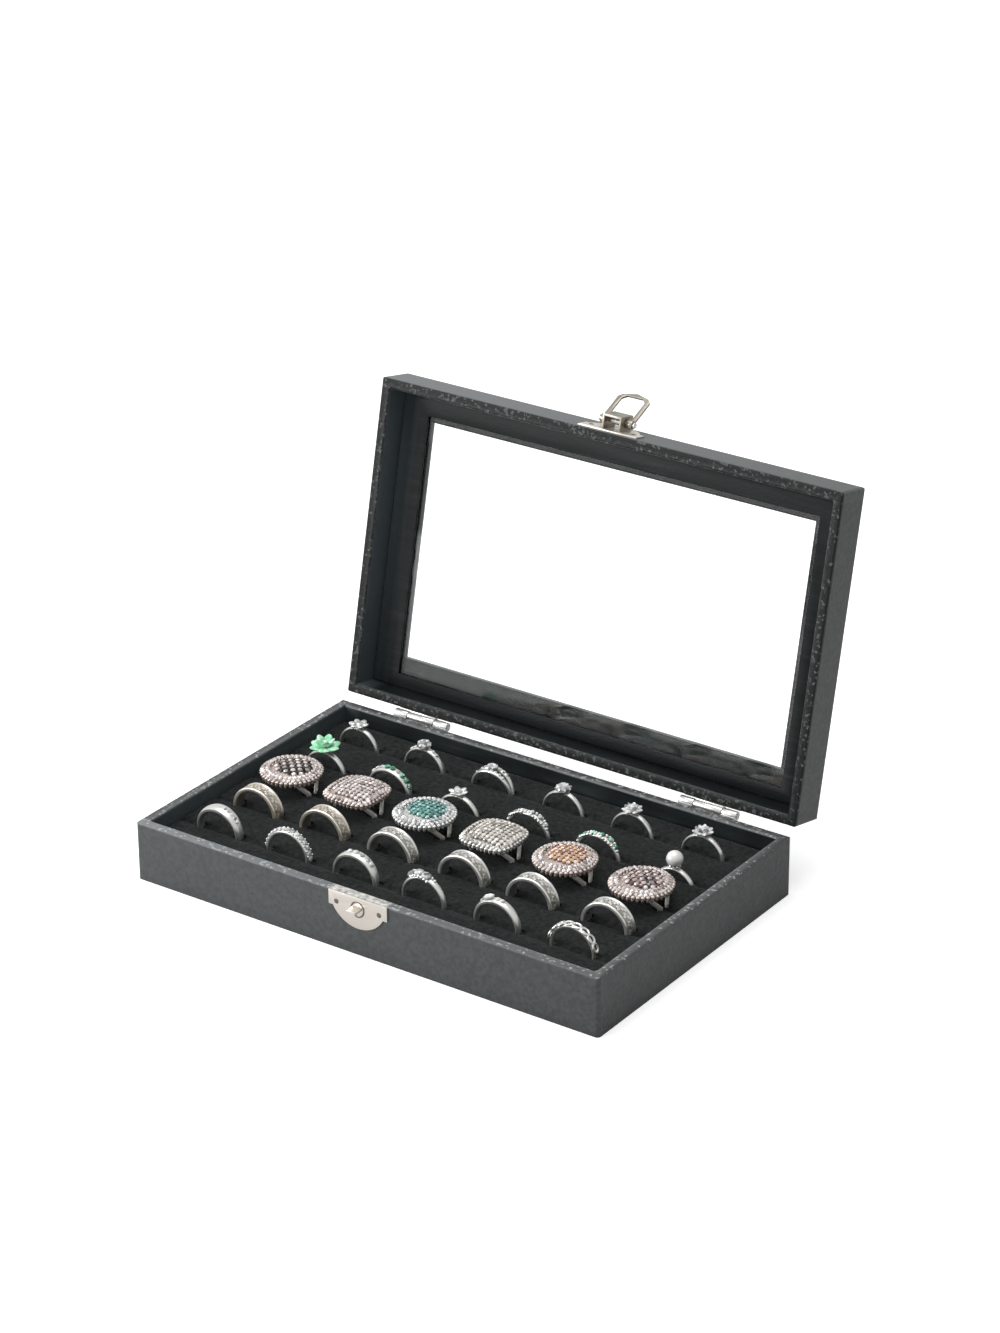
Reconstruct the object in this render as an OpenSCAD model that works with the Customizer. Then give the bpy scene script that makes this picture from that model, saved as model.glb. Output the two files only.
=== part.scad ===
/* [Box] */
// Width of the box, side to side
box_w = 200; // [196:1:224]
// Depth of the box, front to back
box_d = 123; // [120:1:140]
// Height of the tray
base_h = 23; // [21.5:0.5:26]
// Height of the lid
lid_h = 15.6; // [14:0.2:24]
// Gap between the two rims when the box is shut
seam_gap = 0.3; // [0.2:0.05:0.6]
// Thickness of the board in the walls
board_t = 3; // [2.5:0.1:4]
// Thickness of the board floor
floor_t = 2; // [1.5:0.1:3]
// Thickness of the leatherette that covers the board
cover_t = 0.5; // [0.3:0.05:0.8]
// Radius of the wrapped upright corners
corner_r = 1.4; // [1:0.1:3]
// Radius of the rim's wrapped edges
rim_r = 0.9; // [0.4:0.1:1.4]
// Width of the covering turned under the tray
turn_in = 9; // [5:0.5:14]

/* [Lid] */
// Width of the border at each side of the window
window_side = 16; // [13:0.5:30]
// Width of the border in front of the window and behind it
window_end = 15.5; // [13:0.5:30]
// Thickness of the board round the window
panel_t = 2; // [1.5:0.1:3]
// Thickness of the window pane
pane_t = 2; // [1.5:0.1:3]
// Thickness of the frame that holds the pane in
frame_t = 1; // [0.8:0.1:2]
// Width of the pane that shows inside the frame, sides and front
frame_step = 2.5; // [1:0.25:5]
// Width of the pane that shows inside the frame, hinge side
frame_step_back = 6; // [1:0.25:8]
// Gap between the pane or frame and the walls
pane_gap = 0.4; // [0.2:0.1:1]

/* [Foam] */
// Thickness of the card under the foam
card_t = 0.8; // [0.5:0.1:1.2]
// How far the foam lies below the rim
foam_drop = 5.2; // [4:0.1:7]
// Distance from the walls to the first and the last row of rings
row_edge = 15.5; // [13:0.25:18]
// Width of the slot between two rolls
slot_w = 0.8; // [0.6:0.1:1.4]
// Radius of a roll's top edges
roll_r = 3.5; // [2:0.5:5]
// Gap between the foam and the walls
foam_gap = 0.3; // [0.2:0.1:0.8]
// Gap between a ring and the foam
ring_gap = 0.3; // [0.25:0.05:0.4]

/* [Rings] */
// Distance from the walls to the first and the last ring of a row
ring_edge = 20; // [18:0.25:22]
// Inside diameter of the tapered front row rings
front_ring_d = 15.8; // [15:0.1:17]
// Inside diameter of the channel band rings
band_ring_d = 16.6; // [15:0.1:17]
// Inside diameter of the cocktail rings
cocktail_ring_d = 16.4; // [15.4:0.1:17]
// Inside diameter of the cluster rings
cluster_ring_d = 16.4; // [15:0.1:17]
// Inside diameter of the solitaire rings
solitaire_ring_d = 15.8; // [15:0.1:17]
// Thickness of a thin band
band_t = 1.2; // [1:0.05:1.4]
// Width of a thin band
band_w = 2; // [1.7:0.1:2.2]
// Diameter of the cocktail rings' heads
cocktail_d = 23.6; // [20:0.2:24.6]
// Rise of a cocktail head's dome
cocktail_rise = 2; // [1:0.1:2.6]
// Thickness of a cocktail head's edge
cocktail_edge = 1.1; // [0.8:0.1:1.6]
// Height of the cone under a cocktail head
cocktail_cone_h = 1.5; // [1.2:0.1:2]
// Diameter of a stone's setting
setting_d = 4.8; // [4:0.1:5.4]
// Height of a stone's setting
setting_h = 2.4; // [1.8:0.1:3]
// Diameter of the pearl
pearl_d = 7; // [6.5:0.1:8.5]

/* [Hinges] */
// Distance from the end of the box to the middle of a hinge
hinge_inset = 36; // [20:1:50]
// Width of a hinge
hinge_w = 24; // [18:0.5:32]
// Height of each hinge leaf
leaf_h = 8; // [7:0.25:10]
// Thickness of the hinge leaves
leaf_t = 0.6; // [0.4:0.05:0.8]
// Outside diameter of the knuckles
knuckle_d = 3.4; // [3:0.1:3.6]
// Diameter of the hinge pins
hinge_pin_d = 1.6; // [1.2:0.1:1.8]
// Distance of the hinge axis behind the box
axis_back = 2.1; // [2:0.05:2.4]
// Radial clearance of a pin in its hole
pin_fit = 0.05; // [0.02:0.01:0.08]
// Gap between neighbouring knuckles
knuckle_gap = 0.3; // [0.2:0.05:0.5]
// How far the lid stands open
open_angle = 102.5; // [95:0.5:105]

/* [Latch] */
// Width of the latch and catch plates
plate_w = 25.2; // [22:0.2:28]
// Height of the latch and catch plates
plate_h = 12; // [11:0.1:12.4]
// Height of the straight ends of a plate
plate_end_h = 5.6; // [5:0.1:6.4]
// Thickness of the plates
plate_t = 0.6; // [0.4:0.05:0.8]
// Gap from the rim to the edge of the latch plate
plate_rim_gap = 1.1; // [0.8:0.1:1.6]
// Distance of the plates' nails from the middle
plate_nail_x = 9.2; // [8:0.1:10.5]
// Width of the bracket on the latch plate
bracket_w = 8; // [7.4:0.1:9]
// How far the bracket stands out
bracket_out = 5.2; // [4.8:0.1:6]
// Height of the bracket
bracket_h = 8; // [7:0.1:8.4]
// Thickness of the bracket's sheet
bracket_t = 0.8; // [0.6:0.1:1]
// Height of the latch pin above the rim of the lid
latch_pin_up = 7.7; // [7:0.1:8.5]
// Distance of the latch pin from the plate
latch_pin_out = 2.6; // [2.4:0.1:3]
// Diameter of the latch pin
latch_pin_d = 1.4; // [1:0.1:1.6]
// Width of the loop
loop_w = 13.8; // [13.4:0.1:15]
// Length of the loop, from the pin to its tip
loop_len = 14.8; // [14.6:0.1:16]
// Width of the loop's sides and end
loop_rim = 1.9; // [1.6:0.1:2.1]
// Thickness of the loop's sheet
loop_t = 0.9; // [0.6:0.05:1]
// Diameter of the loop's eyes
loop_eye_d = 3.2; // [2.9:0.1:3.6]
// Angle that the thrown back loop makes with the loop when it is latched
loop_back_angle = 144; // [135:1:146]
// Width of the hook on the catch plate
hook_w = 4; // [3:0.1:5]
// Diameter of the nail heads
nail_head_d = 2; // [1.6:0.1:2.2]
// Diameter of the nail shanks
nail_d = 0.8; // [0.6:0.05:1]
// Length of the nail shanks
nail_len = 2.8; // [2.2:0.1:3]

/* [Hidden] */

$fn = 48;
eps = 0.01;
wall = board_t + 2 * cover_t;
cavity_w = box_w - 2 * wall;
cavity_d = box_d - 2 * wall;
lid_z = base_h + seam_gap;
top_z = lid_z + lid_h;
floor_top = cover_t + floor_t;
panel_z = top_z - cover_t - panel_t;
pane_z = panel_z - pane_t;
frame_z = pane_z - frame_t;
foam_z = floor_top + card_t;
foam_top = base_h - foam_drop;
front_y = -box_d / 2;
window_w = box_w - 2 * window_side;
window_d = box_d - 2 * window_end;
hinge_x = box_w / 2 - hinge_inset;
axis_y = box_d / 2 + axis_back;
axis_z = base_h + seam_gap / 2;
knuckle_r = knuckle_d / 2;
leaf_clear = 0.35;
steel = "silver";
nickel = "gainsboro";
leatherette = [0.13, 0.14, 0.14];
board = "dimgray";

// Rows of rings, front to back: [y, inside radius]
row_pitch = (cavity_d - 2 * row_edge) / 4;
ROWS = [[-2 * row_pitch, front_ring_d / 2],
    [-row_pitch, band_ring_d / 2],
    [0, cocktail_ring_d / 2],
    [row_pitch, cluster_ring_d / 2],
    [2 * row_pitch, solitaire_ring_d / 2]];

// Rings of each row: [node, kind, shift in ring pitches, bore in the row's, foot's height in the foam's,
//     thickness at the top and at the foot in thin bands', width at the top and at the foot in thin bands']
RINGS = [
    [["ring_a1", "plain", -0.033, 1, 0.34, 1.9, 1.25, 2.6, 1.3],
     ["ring_a2", "plain", 0, 1, 0.33, 1.6, 1.4, 1.6, 1.5],
     ["ring_a3", "plain", -0.02, 1, 0.34, 1.7, 1.15, 2.2, 1.1],
     ["ring_a4", "bypass", -0.046, 1, 0.34, 1.3, 1.15, 2.5, 1.1],
     ["ring_a5", "plain", -0.02, 1, 0.34, 1.7, 1.15, 1.8, 1],
     ["ring_a6", "pierced", 0.013, 1, 0.34, 1.4, 1.25, 2.2, 1.8]],
    [["ring_b1", "channel", 0, 1, 0.29, 1.3, 1.3, 2.8, 2.8],
     ["ring_b2", "channel", 0, 1, 0.29, 1.3, 1.3, 2.8, 2.8],
     ["ring_b3", "channel", 0, 1, 0.29, 1.3, 1.3, 2.8, 2.8],
     ["ring_b4", "channel", 0.026, 1, 0.29, 1.3, 1.3, 2.8, 2.8],
     ["ring_b5", "channel", -0.013, 1, 0.29, 1.3, 1.3, 2.8, 2.8],
     ["ring_b6", "channel", 0.026, 1, 0.29, 1.3, 1.3, 2.8, 2.8]],
    [["ring_c1", "round_head", -0.026, 1, 0.1, 1.1, 1, 3.2, 1.7],
     ["ring_c2", "square_head", -0.04, 1, 0.1, 1.1, 1, 3.2, 1.7],
     ["ring_c3", "round_head", -0.04, 1, 0.1, 1.1, 1, 3.2, 1.7],
     ["ring_c4", "square_head", -0.04, 1, 0.1, 1.1, 1, 3.2, 1.7],
     ["ring_c5", "round_head", -0.033, 1, 0.1, 1.1, 1, 3.2, 1.7],
     ["ring_c6", "round_head", 0.02, 1, 0.1, 1.1, 1, 3.2, 1.7]],
    [["ring_d1", "cluster", -0.046, 1, 0.12, 1.1, 1, 1.2, 0.9],
     ["ring_d2", "plain", -0.066, 1, 0.18, 1.4, 1.1, 2, 1],
     ["ring_d3", "cluster", -0.046, 1, 0.07, 1.1, 1, 1.1, 0.9],
     ["ring_d4", "bypass", -0.033, 1, 0.18, 1.25, 1.15, 2.2, 1],
     ["ring_d5", "bypass", -0.04, 1, 0.18, 1.25, 1.15, 2.3, 1],
     ["ring_d6", "pearl_cup", 0.026, 0.91, 0.06, 1.1, 1, 1.1, 0.9]],
    [["ring_e1", "solitaire", -0.053, 1, 0.25, 1, 0.9, 1.05, 0.85],
     ["ring_e2", "solitaire", -0.053, 1, 0.25, 1.1, 0.9, 1.3, 0.85],
     ["ring_e3", "solitaire", -0.03, 1, 0.25, 1.15, 0.9, 1.9, 0.85],
     ["ring_e4", "solitaire", 0, 1, 0.25, 1, 0.9, 1.05, 0.85],
     ["ring_e5", "solitaire", -0.013, 1, 0.25, 1, 0.9, 1.05, 0.85],
     ["ring_e6", "solitaire", -0.026, 1, 0.25, 1, 0.9, 1.05, 0.85]]];
ring_columns = 6;
ring_pitch = (cavity_w - 2 * ring_edge) / (ring_columns - 1);

function ring_x(row, column) = (column - (ring_columns - 1) / 2 + RINGS[row][column][2]) * ring_pitch;
function bore_r(row, column) = RINGS[row][column][3] * ROWS[row][1];
function top_t(row, column) = RINGS[row][column][5] * band_t;
function foot_t(row, column) = RINGS[row][column][6] * band_t;
function top_w(row, column) = RINGS[row][column][7] * band_w;
function foot_w(row, column) = RINGS[row][column][8] * band_w;
function ring_z(row, column) =
    foam_z + RINGS[row][column][4] * (foam_top - foam_z) + foot_t(row, column) + bore_r(row, column);

// ---- general shapes ----

module rounded_square(w, d, r) {
    square([w - 2 * r, d], center = true);
    square([w, d - 2 * r], center = true);
    for (x = [-1, 1], y = [-1, 1]) translate([x * (w / 2 - r), y * (d / 2 - r)]) circle(r);
}

module box_at(w, d, z0, z1) {
    translate([-w / 2, -d / 2, z0]) cube([w, d, z1 - z0]);
}

module y_cylinder(r, w) {
    rotate([90, 0, 0]) cylinder(r = r, h = w, center = true);
}

module x_cylinder(r, w) {
    rotate([0, 90, 0]) cylinder(r = r, h = w, center = true);
}

// Places children, drawn with the lid shut, where the open lid carries them
module on_open_lid() {
    translate([0, axis_y, axis_z]) rotate([-open_angle, 0, 0]) translate([0, -axis_y, -axis_z]) children();
}

// ---- box walls and covering ----

// Straight cutter that rounds an edge lying along X, its corner at the origin, the solid towards -Y and -Z
module edge_cutter(length, r) {
    rotate([90, 0, 90]) linear_extrude(length, center = true) difference() {
        translate([-r, -r]) square(r + 1);
        translate([-r, -r]) circle(r);
    }
}

// Outside of a tray with rounded upright corners and a rounded rim, z1 being the rim
module tray_outside(z0, z1) {
    difference() {
        translate([0, 0, z0]) linear_extrude(z1 - z0) rounded_square(box_w, box_d, corner_r);
        rim_cutters(z1);
    }
}

module rim_cutters(z) {
    for (side = [-1, 1]) {
        translate([0, 0, z]) rotate([0, 0, side > 0 ? 0 : 180]) translate([0, box_d / 2, 0])
            edge_cutter(box_w + 2, rim_r);
        translate([0, 0, z]) rotate([0, 0, 90 * side]) translate([0, box_w / 2, 0])
            edge_cutter(box_d + 2, rim_r);
    }
}

// Rounds the inner edge of the rim
module inner_rim_cutters(z) {
    for (side = [-1, 1]) {
        translate([0, 0, z]) rotate([0, 0, side > 0 ? 0 : 180]) translate([0, -cavity_d / 2, 0])
            edge_cutter(cavity_w, rim_r);
        translate([0, 0, z]) rotate([0, 0, 90 * side]) translate([0, -cavity_w / 2, 0])
            edge_cutter(cavity_d, rim_r);
    }
}

// The four wall boards, as one space
module wall_boards(z0, z1) {
    difference() {
        box_at(box_w - 2 * cover_t, box_d - 2 * cover_t, z0, z1);
        box_at(cavity_w + 2 * cover_t, cavity_d + 2 * cover_t, z0 - 1, z1 + 1);
    }
}

module long_wall(side, z0, z1) {
    translate([0, side * (box_d / 2 - cover_t - board_t / 2), 0])
        box_at(box_w - 2 * cover_t, board_t, z0, z1);
}

module short_wall(side, z0, z1) {
    translate([side * (box_w / 2 - cover_t - board_t / 2), 0, 0])
        box_at(board_t, cavity_d + 2 * cover_t, z0, z1);
}

module base_cover() {
    color(leatherette) difference() {
        tray_outside(0, base_h);
        box_at(cavity_w, cavity_d, floor_top, base_h + 1);
        inner_rim_cutters(base_h);
        box_at(cavity_w + 2 * cover_t, cavity_d + 2 * cover_t, cover_t, floor_top);
        wall_boards(cover_t, base_h - cover_t);
        box_at(box_w - 2 * turn_in, box_d - 2 * turn_in, -1, cover_t + eps);
        nail_holes_base();
    }
}

module nailed_base_wall(side) {
    color(board) difference() {
        long_wall(side, cover_t, base_h - cover_t);
        nail_holes_base();
    }
}

module nailed_lid_wall(side) {
    color(board) on_open_lid() difference() {
        long_wall(side, lid_z + cover_t, top_z - cover_t);
        nail_holes_lid();
    }
}

module base_front_wall() { nailed_base_wall(-1); }

module base_back_wall() { nailed_base_wall(1); }

module base_left_wall() {
    color(board) short_wall(-1, cover_t, base_h - cover_t);
}

module base_right_wall() {
    color(board) short_wall(1, cover_t, base_h - cover_t);
}

module base_floor() {
    color(board) box_at(cavity_w + 2 * cover_t, cavity_d + 2 * cover_t, cover_t, floor_top);
}

module base_underlay() {
    color("black") box_at(box_w - 2 * turn_in - 2 * pane_gap, box_d - 2 * turn_in - 2 * pane_gap, 0, cover_t);
}

module insert_card() {
    color("black") box_at(cavity_w - 2 * foam_gap, cavity_d - 2 * foam_gap, floor_top, foam_z);
}

// ---- foam ----

// The room that a ring needs in the foam: its own outline, open upwards so that it lifts out
module ring_pocket(row, column) {
    r = bore_r(row, column) + (top_t(row, column) + foot_t(row, column)) / 2 + ring_gap;
    w = max(top_w(row, column), foot_w(row, column)) + 2 * ring_gap;
    middle = ring_z(row, column) + (top_t(row, column) - foot_t(row, column)) / 2;
    translate([ring_x(row, column), ROWS[row][0], middle]) {
        y_cylinder(r, w);
        translate([-r, -w / 2, 0]) cube([2 * r, w, base_h]);
    }
}

module foam_roll(y0, y1) {
    w = y1 - y0;
    h = foam_top - foam_z;
    difference() {
        translate([0, y0, foam_z]) rotate([90, 0, 90])
            linear_extrude(cavity_w - 2 * foam_gap, center = true) {
                square([w, h - roll_r]);
                translate([roll_r, 0]) square([w - 2 * roll_r, h]);
                for (x = [roll_r, w - roll_r]) translate([x, h - roll_r]) circle(roll_r);
            }
        for (row = [0:len(ROWS) - 1], column = [0:ring_columns - 1])
            if (abs(ROWS[row][0] - y0) < row_pitch / 2 || abs(ROWS[row][0] - y1) < row_pitch / 2)
                ring_pocket(row, column);
    }
}

module foam_rolls() {
    edge = cavity_d / 2 - foam_gap;
    starts = concat([-edge], [for (row = ROWS) row[0] + slot_w / 2]);
    ends = concat([for (row = ROWS) row[0] - slot_w / 2], [edge]);
    color([0.08, 0.08, 0.09]) for (i = [0:len(starts) - 1]) foam_roll(starts[i], ends[i]);
}

// ---- lid ----

module lid_cover_shut() {
    difference() {
        translate([0, 0, lid_z]) linear_extrude(lid_h) rounded_square(box_w, box_d, corner_r);
        rim_cutters(top_z);
        translate([0, 0, 2 * lid_z]) mirror([0, 0, 1]) {
            rim_cutters(lid_z);
            inner_rim_cutters(lid_z);
        }
        box_at(cavity_w, cavity_d, lid_z - 1, panel_z);
        box_at(window_w, window_d, panel_z - 1, top_z + 1);
        wall_boards(lid_z + cover_t, top_z - cover_t);
        difference() {
            box_at(cavity_w + 2 * cover_t + eps, cavity_d + 2 * cover_t + eps, panel_z, top_z - cover_t);
            box_at(window_w + 2 * cover_t, window_d + 2 * cover_t, panel_z - 1, top_z);
        }
        nail_holes_lid();
    }
}

module lid_cover() {
    color(leatherette) on_open_lid() lid_cover_shut();
}

module lid_front_wall() { nailed_lid_wall(-1); }

module lid_back_wall() { nailed_lid_wall(1); }

module lid_left_wall() {
    color(board) on_open_lid() short_wall(-1, lid_z + cover_t, top_z - cover_t);
}

module lid_right_wall() {
    color(board) on_open_lid() short_wall(1, lid_z + cover_t, top_z - cover_t);
}

module lid_panel() {
    color(board) on_open_lid() difference() {
        box_at(cavity_w + 2 * cover_t, cavity_d + 2 * cover_t, panel_z, top_z - cover_t);
        box_at(window_w + 2 * cover_t, window_d + 2 * cover_t, panel_z - 1, top_z);
    }
}

module window_pane() {
    color("lightcyan", 0.3) on_open_lid()
        box_at(cavity_w - 2 * pane_gap, cavity_d - 2 * pane_gap, pane_z, panel_z);
}

module pane_frame() {
    color("black") on_open_lid() difference() {
        box_at(cavity_w - 2 * pane_gap, cavity_d - 2 * pane_gap, frame_z, pane_z);
        translate([0, (frame_step_back - frame_step) / 2, frame_z])
            box_at(window_w + 2 * frame_step, window_d + frame_step + frame_step_back, -1, frame_t + 1);
    }
}

// ---- hinges ----

// A knuckle, [start, end] along the hinge from its left end; the middle one belongs to the lid
outer_knuckle = (hinge_w - 2 * knuckle_gap) / 4;
BASE_KNUCKLES = [[0, outer_knuckle], [hinge_w - outer_knuckle, hinge_w]];
LID_KNUCKLES = [[outer_knuckle + knuckle_gap, hinge_w - outer_knuckle - knuckle_gap]];
LEAF_NAILS = [0.18, 0.82];

// A leaf that stands up from the axis at height 0, on a wall whose face is at y = 0
module hinge_leaf(knuckles, others) {
    difference() {
        union() {
            translate([-hinge_w / 2, 0, 0]) cube([hinge_w, leaf_t, leaf_h]);
            for (k = knuckles) translate([-hinge_w / 2 + k[0], 0, 0]) {
                cube([k[1] - k[0], axis_back, knuckle_r]);
                translate([(k[1] - k[0]) / 2, axis_back, 0]) x_cylinder(knuckle_r, k[1] - k[0]);
            }
        }
        for (k = others) translate([-hinge_w / 2 + k[0] - knuckle_gap, -1, -1])
            cube([k[1] - k[0] + 2 * knuckle_gap, axis_back + knuckle_d, 1 + knuckle_r + leaf_clear]);
        for (k = others) translate([-hinge_w / 2 + (k[0] + k[1]) / 2, axis_back, 0])
            x_cylinder(knuckle_r + leaf_clear, k[1] - k[0] + 2 * knuckle_gap);
        translate([0, axis_back, 0]) x_cylinder(hinge_pin_d / 2 + pin_fit, hinge_w + 2);
        for (n = LEAF_NAILS) translate([(n - 0.5) * hinge_w, 0, leaf_nail_z])
            y_cylinder(nail_d / 2, 4 * leaf_t);
        translate([-hinge_w / 2 - 1, -1, -knuckle_d]) cube([hinge_w + 2, 1, 2 * knuckle_d]);
    }
}
leaf_nail_z = leaf_h - 2.4;

module base_leaf(side) {
    color(steel) translate([side * hinge_x, box_d / 2, axis_z]) mirror([0, 0, 1])
        hinge_leaf(BASE_KNUCKLES, LID_KNUCKLES);
}

module lid_leaf(side) {
    color(steel) on_open_lid() translate([side * hinge_x, box_d / 2, axis_z])
        hinge_leaf(LID_KNUCKLES, BASE_KNUCKLES);
}

module left_hinge_base_leaf() { base_leaf(-1); }

module right_hinge_base_leaf() { base_leaf(1); }

module left_hinge_lid_leaf() { lid_leaf(-1); }

module right_hinge_lid_leaf() { lid_leaf(1); }

module hinge_pins() {
    color(steel) for (side = [-1, 1]) translate([side * hinge_x, axis_y, axis_z])
        x_cylinder(hinge_pin_d / 2, hinge_w + 0.4);
}

// ---- nails ----

// A round headed nail driven towards +Y, the underside of its head at y = 0
module nail() {
    rotate([-90, 0, 0]) cylinder(d = nail_d, h = nail_len);
    intersection() {
        translate([0, nail_head_d, 0]) sphere(sqrt(1.25) * nail_head_d);
        translate([0, -nail_head_d / 2, 0]) cube(nail_head_d * [2, 1, 2], center = true);
        y_cylinder(nail_head_d / 2, 2 * nail_head_d);
    }
}

module nail_hole() {
    rotate([-90, 0, 0]) translate([0, 0, -1]) cylinder(d = nail_d, h = 1 + nail_len);
}

plate_top_z = base_h - 0.2;
plate_nail_drop = 0.32 * plate_h;
plate_nail_z = plate_top_z - plate_nail_drop;
latch_nail_z = lid_z + plate_rim_gap + plate_nail_drop;

// Runs its children at each nail of the tray
module at_base_nails() {
    for (side = [-1, 1]) {
        translate([side * plate_nail_x, front_y - plate_t, plate_nail_z]) children();
        for (n = LEAF_NAILS)
            translate([side * hinge_x + (n - 0.5) * hinge_w, box_d / 2 + leaf_t, axis_z - leaf_nail_z])
                mirror([0, 1, 0]) children();
    }
}

// Runs its children at each nail of the shut lid
module at_lid_nails() {
    for (side = [-1, 1]) {
        translate([side * plate_nail_x, front_y - plate_t, latch_nail_z]) children();
        for (n = LEAF_NAILS)
            translate([side * hinge_x + (n - 0.5) * hinge_w, box_d / 2 + leaf_t, axis_z + leaf_nail_z])
                mirror([0, 1, 0]) children();
    }
}

module nail_holes_base() { at_base_nails() nail_hole(); }

module nail_holes_lid() { at_lid_nails() nail_hole(); }

module base_nails() { color(nickel) at_base_nails() nail(); }

module lid_nails() { color(nickel) on_open_lid() at_lid_nails() nail(); }

// ---- latch and catch ----

// Outline of a plate: a straight edge at y = 0 with square ends, and a round side towards -Y
module plate_outline() {
    round_r = 0.49 * plate_w;
    translate([-plate_w / 2, -plate_end_h]) square([plate_w, plate_end_h]);
    translate([0, round_r - plate_h]) intersection() {
        circle(round_r);
        translate([-plate_w, -plate_w]) square([2 * plate_w, plate_w + plate_h - round_r - eps]);
    }
}

module plate() {
    difference() {
        rotate([90, 0, 0]) linear_extrude(plate_t) plate_outline();
        children();
    }
}

pin_z = lid_z + latch_pin_up;
pin_y = front_y - plate_t - latch_pin_out;
bar_inner_r = loop_len - loop_rim;
hook_gap = 0.35;
hook_reach = 0.4 * hook_w;

// A tongue pressed out of the plate, its underside an arc about the latch pin
module catch_hook() {
    translate([0, pin_y, pin_z]) intersection() {
        difference() {
            x_cylinder(bar_inner_r - hook_gap, hook_w);
            x_cylinder(bar_inner_r - hook_gap - 1.5 * plate_t, 2 * hook_w);
        }
        translate([-hook_w, -hook_reach, -2 * loop_len])
            cube([2 * hook_w, latch_pin_out + hook_reach + eps, 2 * loop_len]);
    }
}

module catch_plate() {
    color(nickel) difference() {
        union() {
            translate([0, front_y, plate_top_z]) plate();
            catch_hook();
        }
        nail_holes_base();
    }
}

module latch_plate() {
    color(nickel) on_open_lid() difference() {
        translate([0, front_y, lid_z + plate_rim_gap]) mirror([0, 0, 1]) plate();
        nail_holes_lid();
    }
}

// A channel of bent sheet, open towards the rim and away from it
module latch_bracket() {
    y1 = front_y - plate_t;
    color(nickel) on_open_lid() difference() {
        translate([-bracket_w / 2, y1 - bracket_out, pin_z - bracket_h / 2])
            cube([bracket_w, bracket_out, bracket_h]);
        translate([-bracket_w / 2 + bracket_t, y1 - bracket_out + bracket_t, pin_z - bracket_h])
            cube([bracket_w - 2 * bracket_t, bracket_out, 2 * bracket_h]);
        translate([0, pin_y, pin_z]) x_cylinder(latch_pin_d / 2 + pin_fit, 2 * bracket_w);
    }
}

module latch_pin() {
    color(steel) on_open_lid() translate([0, pin_y, pin_z]) {
        head_w = latch_pin_d / 3;
        x_cylinder(latch_pin_d / 2, loop_w + 2 * knuckle_gap + 2 * head_w);
        for (side = [-1, 1]) translate([side * (loop_w / 2 + knuckle_gap + head_w / 2), 0, 0])
            x_cylinder(0.75 * latch_pin_d, head_w);
    }
}

// A close wound coil round the pin
module latch_spring() {
    wire = 0.36 * latch_pin_d;
    turns = 9;
    coil_r = latch_pin_d / 2 + pin_fit + 0.7 * wire;
    color("gray") on_open_lid() translate([0, pin_y, pin_z]) rotate([0, 90, 0]) rotate_extrude()
        for (i = [0:turns - 1]) translate([coil_r, (i - (turns - 1) / 2) * wire * 0.95])
            circle(d = wire, $fn = 24);
}

// The loop hanging from the pin, its tip towards -Z
module loop_hanging() {
    half = loop_w / 2;
    shoulder = 0.27 * loop_len;
    peak = loop_w / 10;
    corner = loop_w / 9;
    eye_w = half - bracket_w / 2 - knuckle_gap;
    difference() {
        union() {
            rotate([90, 0, 0]) linear_extrude(loop_t, center = true) difference() {
                polygon([[-half, 0], [-half, -loop_len + peak + corner], [-half + corner, -loop_len + peak],
                    [0, -loop_len], [half - corner, -loop_len + peak], [half, -loop_len + peak + corner],
                    [half, 0]]);
                translate([-half + eye_w, -shoulder - eps]) square([2 * (half - eye_w), shoulder + 1]);
                intersection() {
                    translate([-half + loop_rim, -bar_inner_r]) square([2 * (half - loop_rim), bar_inner_r]);
                    translate([0, half - loop_rim - bar_inner_r]) {
                        circle(half - loop_rim / 2);
                        translate([-half, 0]) square([loop_w, loop_len]);
                    }
                }
            }
            for (side = [-1, 1]) translate([side * (half - eye_w / 2), 0, 0])
                x_cylinder(loop_eye_d / 2, eye_w);
        }
        x_cylinder(latch_pin_d / 2 + pin_fit, loop_w + 1);
    }
}

module latch_loop() {
    color(nickel) on_open_lid() translate([0, pin_y, pin_z]) rotate([-loop_back_angle, 0, 0]) loop_hanging();
}

// ---- rings ----

// A band in the XZ plane about the origin, its hole along Y, thicker and wider at the top
module ring_blank(r, t_top, t_foot, w_top, w_foot) {
    out = r + (t_top + t_foot) / 2;
    up = (t_top - t_foot) / 2;
    intersection() {
        translate([0, 0, up]) y_cylinder(out, w_top + w_foot);
        rotate([90, 0, 90]) linear_extrude(3 * out, center = true)
            polygon([[-w_foot / 2, up - out], [w_foot / 2, up - out],
                [w_top / 2, up + out], [-w_top / 2, up + out]]);
    }
}

module channel_groove(r, t, w) {
    difference() {
        y_cylinder(r + t, w);
        y_cylinder(r - 0.22 * t, 2 * w);
    }
}

// Openings that pierce the upper half of a band, front to back in its width
module pierced_slots(r, w) {
    for (a = [-60:24:60], side = [-1, 1]) rotate([0, a, 0]) translate([0, side * w * 0.22, r])
        cylinder(d = w * 0.28, h = r, center = true);
}

module cocktail_head(square_head, z) {
    r = cocktail_d / 2;
    dome_r = (r * r + cocktail_rise * cocktail_rise) / (2 * cocktail_rise);
    top = z + cocktail_edge + cocktail_rise;
    translate([0, 0, z - cocktail_cone_h]) cylinder(r1 = r * 0.55, r2 = r * 0.86, h = cocktail_cone_h + eps);
    intersection() {
        translate([0, 0, z]) linear_extrude(top - z) {
            if (square_head) rounded_square(cocktail_d * 0.9, cocktail_d * 0.9, cocktail_d * 0.24);
            else circle(r);
        }
        translate([0, 0, top - dome_r]) sphere(dome_r, $fn = 96);
    }
}

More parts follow.
